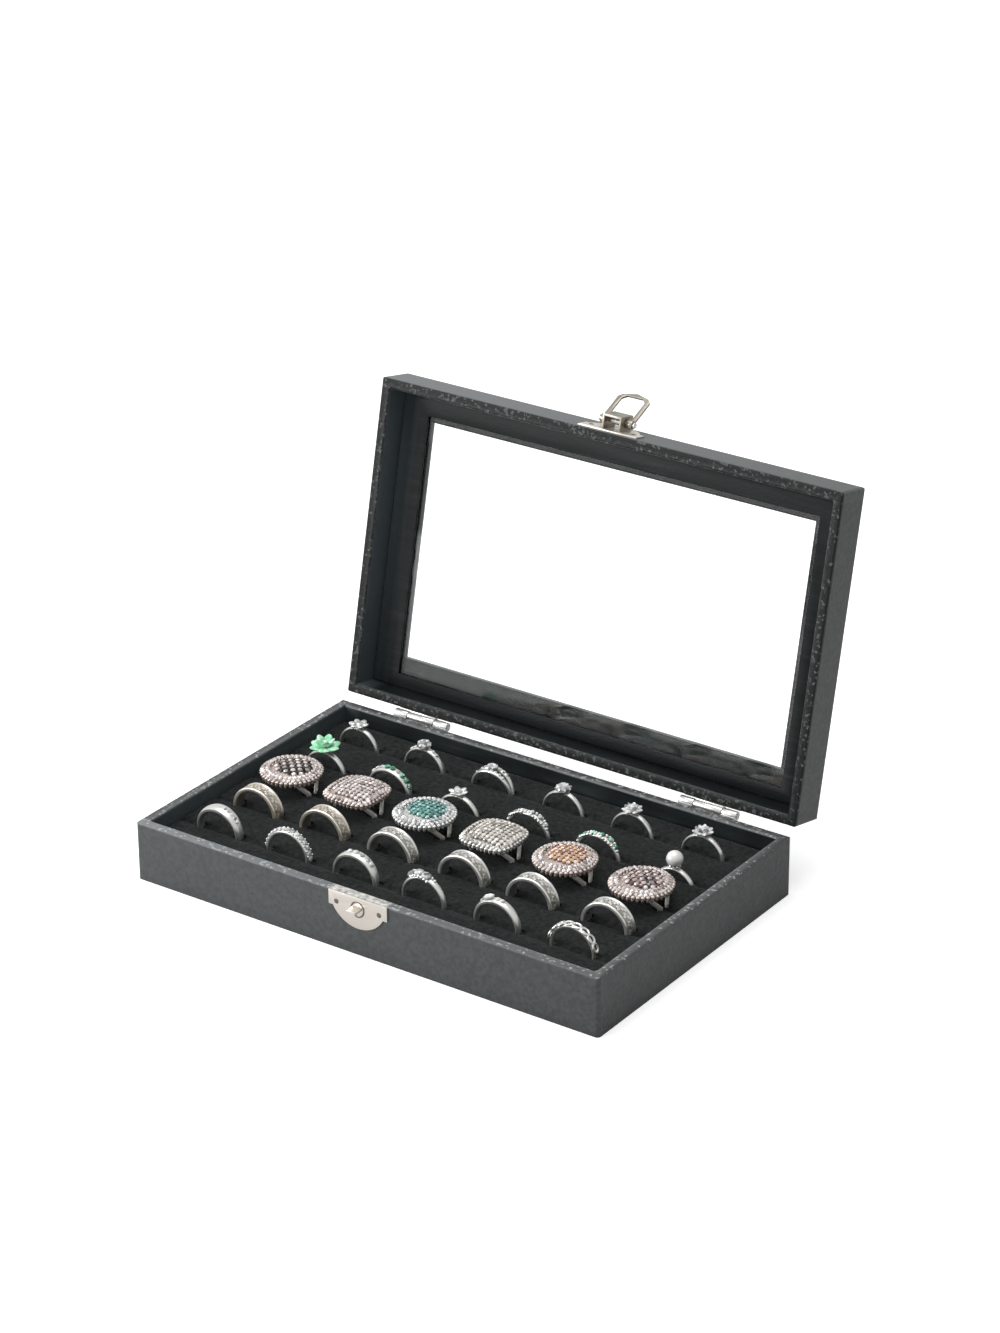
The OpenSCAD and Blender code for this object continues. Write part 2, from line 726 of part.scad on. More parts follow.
// The gap between the two branches of a split shank, widest under the head
module shank_split(r, w) {
    rotate([90, 0, 90]) linear_extrude(4 * r, center = true)
        polygon([[-w * 0.01, -r * 0.35], [w * 0.01, -r * 0.35], [w * 0.3, 1.2 * r], [-w * 0.3, 1.2 * r]]);
}

module cluster_head(z) {
    petals = 6;
    cone_h = 0.6 * setting_h;
    translate([0, 0, z - band_t / 3]) {
        cylinder(d1 = setting_d / 2, d2 = setting_d, h = cone_h);
        translate([0, 0, cone_h]) {
            cylinder(r = 0.31 * setting_d, h = setting_h / 3);
            for (i = [0:petals - 1]) rotate([0, 0, i * 360 / petals]) translate([setting_d / 2, 0, 0])
                cylinder(r = 0.27 * setting_d, h = setting_h / 3);
        }
    }
}

module solitaire_head(z) {
    translate([0, 0, z - band_t / 3]) cylinder(d1 = 0.42 * setting_d, d2 = 0.96 * setting_d, h = setting_h);
}

module pearl_cup(z) {
    translate([0, 0, z - band_t / 4]) difference() {
        cylinder(r1 = 0.16 * pearl_d, r2 = 0.34 * pearl_d, h = 0.2 * pearl_d);
        translate([0, 0, 0.58 * pearl_d]) sphere(pearl_d / 2);
    }
}

// Two crossing arms that lean past each other over the top of the band
module bypass_arms(r, t, w) {
    intersection() {
        difference() {
            y_cylinder(r + 1.3 * t, 2 * w);
            y_cylinder(r + 0.4 * t, 3 * w);
        }
        for (side = [-1, 1]) rotate([0, 0, side * 14]) translate([0, side * w * 0.28, 0])
            cube([r * 1.5, w * 0.34, 4 * r], center = true);
        translate([0, 0, 2 * r]) cube([r * 1.4, 2 * w, 4 * r], center = true);
    }
}

module ring(row, column) {
    kind = RINGS[row][column][1];
    r = bore_r(row, column);
    t = top_t(row, column);
    w = top_w(row, column);
    cocktail = kind == "round_head" || kind == "square_head";
    translate([ring_x(row, column), ROWS[row][0], ring_z(row, column)]) difference() {
        union() {
            difference() {
                ring_blank(r, t, foot_t(row, column), w, foot_w(row, column));
                if (cocktail) shank_split(r, w);
                if (kind == "channel") channel_groove(r + t, t, w / 2);
                if (kind == "pierced") pierced_slots(r, w);
            }
            if (cocktail) cocktail_head(kind == "square_head", r + t);
            if (kind == "cluster") cluster_head(r + t);
            if (kind == "solitaire") solitaire_head(r + t);
            if (kind == "pearl_cup") pearl_cup(r + t);
            if (kind == "bypass") bypass_arms(r, t, w);
        }
        y_cylinder(r, 3 * r);
    }
}

RING_COLOURS = [["silver", "silver", "silver", "silver", "silver", "silver"],
    ["burlywood", "burlywood", "silver", "silver", "silver", "silver"],
    ["rosybrown", "silver", "cadetblue", "silver", "sandybrown", "rosybrown"],
    ["palegreen", "mediumseagreen", "silver", "silver", "mediumseagreen", "silver"],
    ["silver", "silver", "silver", "silver", "silver", "silver"]];

// ---- every piece ----

base_cover();
base_front_wall();
base_back_wall();
base_left_wall();
base_right_wall();
base_floor();
base_underlay();
insert_card();
foam_rolls();
catch_plate();
base_nails();
left_hinge_base_leaf();
right_hinge_base_leaf();
hinge_pins();
lid_cover();
lid_front_wall();
lid_back_wall();
lid_left_wall();
lid_right_wall();
lid_panel();
window_pane();
pane_frame();
left_hinge_lid_leaf();
right_hinge_lid_leaf();
latch_plate();
latch_bracket();
latch_pin();
latch_spring();
lid_nails();
latch_loop();
for (row = [0:len(RINGS) - 1], column = [0:ring_columns - 1])
    color(RING_COLOURS[row][column]) ring(row, column);
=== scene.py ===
# %% [markdown]
# # A ring display box
# The object is a small case for thirty rings: a tray and a lid of board, wrapped in black
# leatherette, a window in the lid, six rolls of flocked foam that grip the rings between them,
# two steel hinges and a nickel latch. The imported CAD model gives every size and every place, so
# the first step is to load it. Each later step dresses or replaces one of its pieces.

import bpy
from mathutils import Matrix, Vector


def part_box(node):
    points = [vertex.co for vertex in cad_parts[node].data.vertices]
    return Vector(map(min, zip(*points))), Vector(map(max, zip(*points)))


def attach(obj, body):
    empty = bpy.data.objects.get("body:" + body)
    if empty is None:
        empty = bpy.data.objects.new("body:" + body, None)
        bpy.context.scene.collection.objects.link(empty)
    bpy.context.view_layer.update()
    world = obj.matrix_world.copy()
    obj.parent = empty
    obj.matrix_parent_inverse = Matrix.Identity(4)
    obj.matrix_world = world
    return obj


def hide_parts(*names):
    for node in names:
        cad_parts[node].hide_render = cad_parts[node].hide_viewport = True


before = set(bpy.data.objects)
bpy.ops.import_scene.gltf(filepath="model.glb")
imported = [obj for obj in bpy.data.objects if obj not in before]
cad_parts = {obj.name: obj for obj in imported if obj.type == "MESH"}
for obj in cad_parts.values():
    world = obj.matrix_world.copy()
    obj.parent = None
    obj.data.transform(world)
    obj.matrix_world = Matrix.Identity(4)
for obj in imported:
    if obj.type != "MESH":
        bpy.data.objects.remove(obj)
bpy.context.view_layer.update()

import math

import bmesh
import bpy
from mathutils import Matrix, Vector

MM = 0.001

# %% [markdown]
# ## Camera
# The box is seen from 35 degrees to the right of its front and 25 degrees above it. A long lens
# far away keeps its upright edges nearly parallel, and a short one near would not. The numbers are
# the place and the turn of the camera in metres and degrees.

# %% Camera
lens_data = bpy.data.cameras.new("camera")
lens_data.lens = 106.74
lens_data.sensor_width = 36
lens_data.clip_end = 20
camera = bpy.data.objects.new("camera", lens_data)
bpy.context.collection.objects.link(camera)
camera.location = (0.7342, -1.0132, 0.6779)
camera.rotation_euler = [math.radians(turn) for turn in (64.722, 0.376, 35.109)]
bpy.context.scene.camera = camera
print("camera distance:", round(camera.location.length, 3))

# %% [markdown]
# ## Hands
# Modelling by hand is always the same few moves: put everything down, take one piece, select some
# of its parts by their place, use a tool on them, and set the piece down finished. These helpers
# name those moves. A modifier is added and applied in one move, so nothing stays live.


# %% Hands
def put_down():
    """Leaves edit mode and deselects everything."""
    if bpy.context.object and bpy.context.object.mode != "OBJECT":
        bpy.ops.object.mode_set(mode="OBJECT")
    bpy.ops.object.select_all(action="DESELECT")


def take(*pieces):
    """Selects these pieces and nothing else; the last one is the active one."""
    put_down()
    for piece in pieces:
        piece.select_set(True)
    bpy.context.view_layer.objects.active = pieces[-1]


def name_new(name):
    """Names the primitive that was just added, with its turn in its mesh."""
    piece = bpy.context.object
    piece.name = piece.data.name = name
    bpy.ops.object.transform_apply(location=False, rotation=True, scale=True)
    return piece


def select(piece, kind, wanted=lambda middle, normal: True):
    """Opens a piece in edit mode with those vertices, edges or faces selected."""
    take(piece)
    bpy.ops.object.mode_set(mode="EDIT")
    bpy.ops.mesh.select_mode(type=kind)
    bpy.ops.mesh.select_all(action="DESELECT")
    mesh = bmesh.from_edit_mesh(piece.data)
    for part in {"VERT": mesh.verts, "EDGE": mesh.edges, "FACE": mesh.faces}[kind]:
        corners = [part] if kind == "VERT" else part.verts
        middle = sum((corner.co for corner in corners), Vector()) / len(corners)
        normal = Vector() if kind == "EDGE" else part.normal
        if wanted(middle, normal):
            part.select_set(True)
    bmesh.update_edit_mesh(piece.data)


def modify(piece, kind, **settings):
    """Adds a modifier and applies it."""
    modifier = piece.modifiers.new(kind.lower(), kind)
    for key, value in settings.items():
        setattr(modifier, key, value)
    take(piece)
    bpy.ops.object.modifier_apply(modifier=modifier.name)


def join(name, pieces):
    """Makes several pieces one."""
    take(*pieces)
    if len(pieces) > 1:
        bpy.ops.object.join()
    piece = bpy.context.view_layer.objects.active
    piece.name = piece.data.name = name
    return piece


def set_down(piece, material, body, stands_for=(), angle=35):
    """Finishes a piece: its place goes in its mesh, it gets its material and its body."""
    take(piece)
    bpy.ops.object.transform_apply(location=True, rotation=True, scale=True)
    if material:
        piece.data.materials.clear()
        piece.data.materials.append(material)
    if angle:
        bpy.ops.object.shade_smooth_by_angle(angle=math.radians(angle))
    else:
        bpy.ops.object.shade_flat()
    put_down()
    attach(piece, body)
    if stands_for:
        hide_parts(*stands_for)
    print(piece.name, len(piece.data.polygons), "faces")
    return piece


def cad_copy(name, *nodes):
    """A merged copy of CAD nodes, its flat faces made whole again."""
    copies = []
    for node in nodes:
        copy = bpy.data.objects.new(name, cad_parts[node].data.copy())
        bpy.context.collection.objects.link(copy)
        copies.append(copy)
    piece = join(name, copies)
    select(piece, "VERT")
    bpy.ops.mesh.remove_doubles(threshold=0.002 * MM)
    bpy.ops.mesh.dissolve_limited(angle_limit=math.radians(0.5))
    put_down()
    return piece


# %% [markdown]
# ## Material helpers
# Colours are written as the sRGB hex values that a paint chart gives, and one function turns them
# to the linear values that Cycles works in. Every node is added by one function, which takes its
# settings and its links, so a material reads as a list of what it is made of. Pattern scales are
# one over the size of a grain in metres, because Object coordinates are in metres.


# %% Material helpers
def colour(code):
    """Linear RGBA of an sRGB hex value."""
    parts = [int(code[i : i + 2], 16) / 255 for i in (1, 3, 5)]
    return [p / 12.92 if p <= 0.04045 else ((p + 0.055) / 1.055) ** 2.4 for p in parts] + [1]


def add(tree, kind, settings=None, links=None):
    """Adds a node with its settings and its links. A key is a socket's name or number, or a property."""
    made = tree.nodes.new("ShaderNode" + kind)
    for key, value in (settings or {}).items():
        if isinstance(key, int) or key in made.inputs:
            made.inputs[key].default_value = value
        else:
            setattr(made, key, value)
    for key, (source, output) in (links or {}).items():
        tree.links.new(source.outputs[output], made.inputs[key])
    return made


def blank(name):
    """A material with an empty node tree, and its tree."""
    material = bpy.data.materials.new(name)
    material.use_nodes = True
    material.node_tree.nodes.clear()
    return material, material.node_tree


def between(tree, source, output, *tints):
    """A ramp over a 0 to 1 value through tints, each (position, hex)."""
    ramp = add(tree, "ValToRGB", {}, {"Fac": (source, output)})
    stops = ramp.color_ramp.elements
    while len(stops) < len(tints):
        stops.new(1)
    for stop, (position, code) in zip(stops, tints):
        stop.position = position
        stop.color = colour(code)
    return ramp


# %% [markdown]
# ## Leatherette
# The covering is paper coated with black polyurethane and embossed with a pebble grain, about
# 0.9 mm from pebble to pebble. It is black: the grey of its flat faces is the pale room mirrored in
# the rough gloss. A Voronoi pattern gives the pebbles, a fine noise the skin between them, and both
# go into one bump. Where it is folded over a rim, the rim has its own tints, which are painted light:
# a painted highlight along the inner edge where it bends, the tray's rims painted pale and the lid's
# painted dark, and some pebbles painted pale grey as glints. The rim is found by its height, and the
# place across it by the distance from the box's outside.
# On the lid, which stands open, a Mapping node first turns the coordinates back to those of a
# closed lid. Inside the walls the covering ends and a smooth black lining paper begins, with faint
# creases along the box.
#
# Some tints only follow the greys of the photograph, and they are painted light and shade. The front
# is painted lighter towards its left end, the lining has a painted pale strip at the left, the lid's
# rim and lining are painted darker than the tray's, and the front rim is painted as pale as bare
# paper by the latch, a painted reflection. The lamps here don't give this light.

# %% Leatherette
PEBBLE = 0.9 * MM
HINGE_LINE = Vector((0, 63.6, 23.15)) * MM
LINED = (96.05 * MM, 57.55 * MM)
OUTSIDE = {"X": 100 * MM, "Y": 61.5 * MM}
RIM_WIDE = 4 * MM
# where each starts to change and where it has changed
FRONT_WALL = (-57.6 * MM, -57.2 * MM)
BY_LATCH = (11.5 * MM, 13 * MM)
# the left end of the lining, painted paler: painted light
LIT_LEFT_STRIP = (-96 * MM, -88 * MM)


def leatherette(
    name, opened, rim, lined_up_to, rim_light_tints, rim_shine, left_light, papers, glint_share=0.5, latch_glare=0.0
):
    """Embossed leatherette on a board turned by an angle, with its rim at a height.

    rim_light_tints run from the inner edge to the outer one and are painted light, left_light is
    how much painted light lightens the front towards its left end: off the rim, and what the rim
    adds to that, papers are the three tints of the lining, glint_share is the share of pebbles on
    the rim painted pale as glints, and latch_glare is how pale the front rim is painted by the
    latch, a painted reflection.
    """
    material, tree = blank(name)
    turn = Matrix.Rotation(opened, 3, "X")
    place = add(tree, "TexCoord")
    closed = add(
        tree,
        "Mapping",
        {"Rotation": (opened, 0, 0), "Location": HINGE_LINE - turn @ HINGE_LINE},
        {"Vector": (place, "Object")},
    )
    pebbles = add(tree, "TexVoronoi", {"Scale": 1 / PEBBLE}, {"Vector": (closed, 0)})
    skin = add(tree, "TexNoise", {"Scale": 1 / (0.3 * MM), "Detail": 2}, {"Vector": (closed, 0)})
    wear = add(tree, "TexNoise", {"Scale": 1 / (22 * MM), "Detail": 4}, {"Vector": (closed, 0)})
    part = add(tree, "SeparateXYZ", {}, {0: (closed, 0)})

    def maths(operation, first, second):
        """A Math node on two values, each a number or a node's output."""
        made = add(tree, "Math", {"operation": operation})
        for slot, value in enumerate((first, second)):
            if isinstance(value, tuple):
                tree.links.new(value[0].outputs[value[1]], made.inputs[slot])
            else:
                made.inputs[slot].default_value = value
        return made, 0

    def spread(value, start, end, first, last):
        """A value's range from start to end, mapped to first and last."""
        limits = {"From Min": start, "From Max": end, "To Min": first, "To Max": last}
        return add(tree, "MapRange", limits, {"Value": value}), 0

    def blend(amount, first, second):
        """Two tints mixed by an amount."""
        settings, links = {"data_type": "RGBA"}, {0: amount, 6: first}
        if isinstance(second, str):
            settings[7] = colour(second)
        else:
            links[7] = second
        return add(tree, "Mix", settings, links), 2

    size = {axis: maths("ABSOLUTE", (part, axis), 0) for axis in "XYZ"}
    away = maths("ABSOLUTE", maths("SUBTRACT", (part, "Z"), rim), 0)
    folded = spread(away, 0.15 * MM, 0.5 * MM, 1, 0)
    in_x, in_y = (maths("SUBTRACT", size[axis], OUTSIDE[axis]) for axis in "XY")
    across = spread(maths("MAXIMUM", in_x, in_y), -RIM_WIDE, 0, 0, 1)

    grain = maths("ADD", maths("MULTIPLY", (skin, 0), 0.3), (pebbles, 0))
    relief = add(tree, "Bump", {"Strength": 1.0, "Distance": 0.05 * MM}, {"Height": grain})

    patches = add(tree, "TexNoise", {"Scale": 1 / (1.6 * MM), "Detail": 3}, {"Vector": (closed, 0)})
    soiled = spread((patches, 0), 0.3, 0.7, -0.18, 0.18)
    # the rim's tints across it are painted light: a painted highlight along the inner edge, pale on the
    # tray's rims and dark on the lid's
    painted_rim_light = between(tree, *maths("ADD", across, soiled), *rim_light_tints)
    mottle = maths("ADD", maths("MULTIPLY", (wear, 0), 0.1), maths("MULTIPLY", (patches, 0), 0.9))
    coat = between(tree, *mottle, (0.36, "#1f2122"), (0.64, "#313536"))
    outer = blend(folded, (coat, 0), (painted_rim_light, 0))
    # the front, and on the tray its rim most of all, is painted lighter towards its left end: painted
    # light
    to_left = spread((part, "X"), -OUTSIDE["X"], OUTSIDE["X"], 1, 0.1)
    in_front = spread((part, "Y"), *FRONT_WALL, 1, 0)
    level = maths("ADD", maths("MULTIPLY", folded, left_light[1]), left_light[0])
    painted_left_light = maths("MULTIPLY", maths("MULTIPLY", to_left, in_front), level)
    outer = blend(painted_left_light, outer, "#6c7072")
    # the front rim by the latch is painted nearly white in patches: a painted reflection
    by_latch = spread(size["X"], *BY_LATCH, latch_glare, 0)
    glare_patches = maths("MULTIPLY", by_latch, spread((patches, 0), 0.35, 0.6, 0.25, 1))
    painted_latch_glare = maths("MULTIPLY", maths("MULTIPLY", folded, in_front), glare_patches)
    outer = blend(painted_latch_glare, outer, "#cfccc6")
    # some pebbles where the covering is folded over a rim are painted pale grey: painted glints
    pick = add(tree, "SeparateColor", {}, {0: (pebbles, "Color")})
    painted_glints = maths("MULTIPLY", spread((pick, 0), 0.84, 0.92, 0, glint_share), folded)
    outer = blend(painted_glints, outer, "#b4b8b8")

    along = add(tree, "Mapping", {"Scale": (1, 12, 6)}, {"Vector": (closed, 0)})
    creases = add(tree, "TexNoise", {"Scale": 1 / (30 * MM), "Detail": 5}, {"Vector": (along, 0)})
    lining = between(tree, creases, 0, *zip((0.35, 0.6, 0.75), papers))
    # the lining is painted paler at its left end: painted light
    painted_left_strip = spread((part, "X"), *LIT_LEFT_STRIP, 1, 0)
    lining = blend(painted_left_strip, (lining, 0), "#4a5255")
    within = [
        add(tree, "Math", {"operation": "COMPARE", 1: 0.0, 2: reach}, {0: size[axis]})
        for axis, reach in zip("XYZ", (*LINED, lined_up_to))
    ]
    inside = maths("MULTIPLY", maths("MULTIPLY", (within[0], 0), (within[1], 0)), (within[2], 0))
    tint = blend(inside, outer, lining)
    shine = maths("SUBTRACT", spread(folded, 0, 1, 0.5, rim_shine), maths("MULTIPLY", inside, 0.38))
    shader = add(
        tree,
        "BsdfPrincipled",
        {"IOR": 1.55, "Roughness": 0.48},
        {"Base Color": tint, "Specular IOR Level": shine, "Normal": (relief, 0)},
    )
    add(tree, "OutputMaterial", {}, {"Surface": (shader, 0)})
    return material


OPENED = math.radians(102.5)
# the lid's lining is painted darker than the tray's: painted shade
SHADED_LID_PAPERS = ("#0f1213", "#171b1c", "#23282a")
# the tray's rims are painted pale, its front and front rim painted lighter to the left and pale by the
# latch: painted light
tray_leather = leatherette(
    "embossed_leatherette_tray",
    opened=0,
    rim=23 * MM,
    lined_up_to=40 * MM,
    rim_light_tints=((0.0, "#5c6060"), (0.25, "#515454"), (0.5, "#3a3c3d"), (1.0, "#2b2d2e")),
    rim_shine=0.5,
    left_light=(0.14, 0.86),
    papers=("#1a1e1f", "#252a2b", "#343a3c"),
    latch_glare=0.95,
)
# the lid's rims are painted dark, painted shade, with a painted highlight along the inner edge, and its
# front wall is painted lighter to the left
lid_leather = leatherette(
    "embossed_leatherette_lid",
    opened=OPENED,
    rim=23.3 * MM,
    lined_up_to=36.7 * MM,
    rim_light_tints=((0.0, "#0c0d0d"), (0.25, "#2b2e2e"), (0.5, "#131515"), (1.0, "#0c0d0d")),
    rim_shine=0.15,
    left_light=(0.58, -0.58),
    papers=SHADED_LID_PAPERS,
    glint_share=0.15,
)
window_leather = leatherette(
    "embossed_leatherette_window",
    opened=OPENED,
    rim=50 * MM,
    lined_up_to=0,
    rim_light_tints=((0, "#222425"), (1, "#222425")),
    rim_shine=0.5,
    left_light=(0, 0),
    papers=SHADED_LID_PAPERS,
)

# %% [markdown]
# ## Board and card
# Grey chipboard makes the walls and shows nowhere but through a gap. Thin black card lies under
# the foam and under the tray. Both are matt, with fibres about a millimetre long that run every
# way, which a noise bent by itself gives.


# %% Board and card
def pressed_board(name, dark, light, roughness, fibre):
    """Board or card: fibres of that size in two tints."""
    material, tree = blank(name)
    place = add(tree, "TexCoord")
    fibres = add(
        tree,
        "TexNoise",
        {"Scale": 1 / fibre, "Detail": 6, "Roughness": 0.7, "Distortion": 1.5},
        {"Vector": (place, "Object")},
    )
    tint = between(tree, fibres, 0, (0.35, dark), (0.65, light))
    relief = add(tree, "Bump", {"Strength": 0.4, "Distance": 0.05 * MM}, {"Height": (fibres, 0)})
    paper = add(
        tree,
        "BsdfPrincipled",
        {"Roughness": roughness},
        {"Base Color": (tint, 0), "Normal": (relief, 0)},
    )
    add(tree, "OutputMaterial", {}, {"Surface": (paper, 0)})
    return material


chipboard = pressed_board("grey_chipboard", "#6d675f", "#8a847a", 0.85, 1.2 * MM)
black_card = pressed_board("black_card", "#141414", "#1f1f20", 0.8, 0.8 * MM)

# %% [markdown]
# ## Flocked foam
# The rolls are foam covered with flock, nylon fibres under a millimetre long that stand upright in
# glue. Flock swallows light, so it is nearly black, with a faint sheen where it is seen at a low
# angle and a mottle where the pile leans one way or another.

# %% Flocked foam
PILE_PATCH = 1.8 * MM
flock, tree = blank("black_flocked_foam")
place = add(tree, "TexCoord")
lean = add(tree, "TexNoise", {"Scale": 1 / PILE_PATCH, "Detail": 3}, {"Vector": (place, "Object")})
pile = add(tree, "TexNoise", {"Scale": 1 / (0.9 * MM), "Detail": 2}, {"Vector": (place, "Object")})
tint = between(tree, lean, 0, (0.32, "#101111"), (0.7, "#282929"))
relief = add(tree, "Bump", {"Strength": 1.0, "Distance": 0.3 * MM}, {"Height": (pile, 0)})
velvet = add(
    tree,
    "BsdfPrincipled",
    {
        "Roughness": 0.95,
        "Specular IOR Level": 0.15,
        "Sheen Weight": 0.12,
        "Sheen Roughness": 0.5,
        "Sheen Tint": colour("#8d9598"),
    },
    {"Base Color": (tint, 0), "Normal": (relief, 0)},
)
add(tree, "OutputMaterial", {}, {"Surface": (velvet, 0)})

# %% [markdown]
# ## Window glass
# The pane is clear float glass, 2 mm thick. It needs nothing but its refraction: a full
# transmission with the index of glass, and a surface that is all but smooth.

# %% Window glass
pane_glass, tree = blank("clear_float_glass")
place = add(tree, "TexCoord")
ripple = add(tree, "TexNoise", {"Scale": 1 / (60 * MM), "Detail": 1}, {"Vector": (place, "Object")})
relief = add(tree, "Bump", {"Strength": 0.05, "Distance": 0.01 * MM}, {"Height": (ripple, 0)})
clear = add(
    tree,
    "BsdfPrincipled",
    {
        "Base Color": colour("#fbfefd"),
        "Roughness": 0.01,
        "IOR": 1.5,
        "Transmission Weight": 1.0,
    },
    {"Normal": (relief, 0)},
)
add(tree, "OutputMaterial", {}, {"Surface": (clear, 0)})


# %% [markdown]
# ## Metals
# All the metal is plated or polished: nickel on the latch, zinc plated steel on the hinges,
# rhodium plated silver on most rings, pale gilding and rose gilding on a few. Polished metal is a
# mirror with hairline scratches, and plating is a little uneven. A stretched noise gives the
# scratches, and a broad one changes the roughness from place to place.


# %% Metals
SCRATCH = 0.25 * MM


def plated_metal(name, tint, smooth, rough, metallic=0.85):
    """A plating: its colour, its least and most roughness, and how bare the metal is."""
    material, tree = blank(name)
    place = add(tree, "TexCoord")
    handled = add(
        tree, "TexNoise", {"Scale": 1 / (4 * MM), "Detail": 3}, {"Vector": (place, "Object")}
    )
    rub = add(
        tree,
        "MapRange",
        {"From Min": 0.3, "From Max": 0.7, "To Min": smooth, "To Max": rough},
        {"Value": (handled, 0)},
    )
    stretch = add(tree, "Mapping", {"Scale": (1, 6, 1)}, {"Vector": (place, "Object")})
    scratches = add(tree, "TexNoise", {"Scale": 1 / SCRATCH, "Detail": 2}, {"Vector": (stretch, 0)})
    relief = add(tree, "Bump", {"Strength": 0.15, "Distance": 0.02 * MM}, {"Height": (scratches, 0)})
    metal = add(
        tree,
        "BsdfPrincipled",
        {"Base Color": colour(tint), "Metallic": metallic},
        {"Roughness": (rub, 0), "Normal": (relief, 0)},
    )
    add(tree, "OutputMaterial", {}, {"Surface": (metal, 0)})
    return material


# two copies of one nickel: the plates get the paler one, painted light, the bracket and loop the darker
# one, painted shade
nickel = plated_metal("nickel_plated_brass", "#908a80", 0.28, 0.42)
lit_nickel = plated_metal("nickel_painted_light", "#cbc5bd", 0.28, 0.42)
bright_steel = plated_metal("bright_zinc_steel", "#c2c2c0", 0.24, 0.4)
silver = plated_metal("rhodium_plated_silver", "#cacac7", 0.26, 0.42, 0.8)
# a paler, less metallic copy of the silver for the shank wires: painted light that keeps them bright in
# the shade of the head
lit_shank_silver = plated_metal("shank_silver_painted_light", "#e2dfda", 0.4, 0.5, 0.35)
gilt = plated_metal("pale_gilt_silver", "#c9c2b5", 0.28, 0.42, 0.8)
rose = plated_metal("rose_plated_silver", "#bdb0aa", 0.28, 0.42, 0.7)
aged = plated_metal("aged_silver", "#a29e97", 0.35, 0.5, 0.7)
# a nickel painted dark: painted shade of the nail holes and of the recess round the hook
shade_dark_nickel = plated_metal("nickel_painted_shade", "#67625b", 0.35, 0.5)


# %% [markdown]
# ## Stones
# The stones are small cut glass and zirconia. Each facet mirrors another bit of the room, so
# neighbours look bright and dark by turns. The facets are real geometry; a Voronoi pattern about
# as large as a stone gives each one its own tint, from dark to pale, which is painted sparkle:
# painted light and reflection over the stone's own colour. A high index gives the sharp gloss.


# %% Stones
def cut_stone(name, *tints, size=1.7 * MM, ior=1.9):
    """A cut stone in several tints, each (position, hex), a cell of the pattern for each stone."""
    material, tree = blank(name)
    place = add(tree, "TexCoord")
    sparkle_cells = add(tree, "TexVoronoi", {"Scale": 1 / size}, {"Vector": (place, "Object")})
    pick = add(tree, "SeparateColor", {}, {0: (sparkle_cells, "Color")})
    # the tints run from dark to pale: painted sparkle over the stone's own colour
    tint = between(tree, pick, 0, *tints)
    gem = add(
        tree,
        "BsdfPrincipled",
        {"Roughness": 0.06, "IOR": ior},
        {"Base Color": (tint, 0)},
    )
    add(tree, "OutputMaterial", {}, {"Surface": (gem, 0)})
    return material


white_stone = cut_stone("white_zirconia", (0, "#66676a"), (0.4, "#b0b1b3"), (1, "#e4e4e3"))
blush_stone = cut_stone("blush_zirconia", (0, "#7a6f6c"), (0.4, "#b7aba7"), (1, "#e2dad7"))
champagne_stone = cut_stone("champagne_zirconia", (0, "#756f68"), (0.4, "#b3aca3"), (1, "#e0dbd3"))
onyx_stone = cut_stone("smoky_glass", (0, "#060504"), (0.7, "#1a1311"), (1, "#5c4840"), ior=1.55)
teal_stone = cut_stone("teal_glass", (0, "#164b49"), (0.5, "#2f8079"), (1, "#86b9b1"))
amber_stone = cut_stone("amber_glass", (0, "#7a4434"), (0.4, "#bb855f"), (1, "#e0c38f"))
peach_stone = cut_stone("peach_glass", (0, "#96705f"), (0.5, "#c6a592"), (1, "#e6d6cc"))
garnet_stone = cut_stone("garnet_glass", (0, "#24131a"), (0.6, "#54303a"), (1, "#b58a7c"))
green_stone = cut_stone("emerald_glass", (0, "#0c4a34"), (0.5, "#1f8a63"), (1, "#9fe0c0"))
green_enamel = cut_stone(
    "green_enamel", (0, "#74c698"), (0.6, "#a4e3bb"), (1, "#d2f4dc"), size=2 * MM, ior=1.5
)

# %% [markdown]
# ## Pearl
# Nacre is a stack of thin layers: a soft white body with a clear gloss over it and a slight warm
# and cool shift near the edge, which a coat and a Fresnel blend of two whites give.

# %% Pearl
nacre, tree = blank("freshwater_pearl")
place = add(tree, "TexCoord")
cloud = add(tree, "TexNoise", {"Scale": 1 / (3 * MM), "Detail": 2}, {"Vector": (place, "Object")})
body_tint = between(tree, cloud, 0, (0.3, "#dddcd9"), (0.7, "#ebeae7"))
edge = add(tree, "LayerWeight", {"Blend": 0.3})
lustre = add(
    tree,
    "Mix",
    {"data_type": "RGBA", 7: colour("#c6c1c3")},
    {0: (edge, "Facing"), 6: (body_tint, 0)},
)
pearl_shader = add(
    tree,
    "BsdfPrincipled",
    {"Roughness": 0.3, "Coat Weight": 0.6, "Coat Roughness": 0.08},
    {"Base Color": (lustre, 2)},
)
add(tree, "OutputMaterial", {}, {"Surface": (pearl_shader, 0)})

# %% [markdown]
# ## Dress the CAD pieces that stay
# The board parts, the coverings, the pane, the pins and the spring already have their real shape,
# with the wrapped rims and rounded corners. They only need their material, which goes into the
# material slots of their objects.

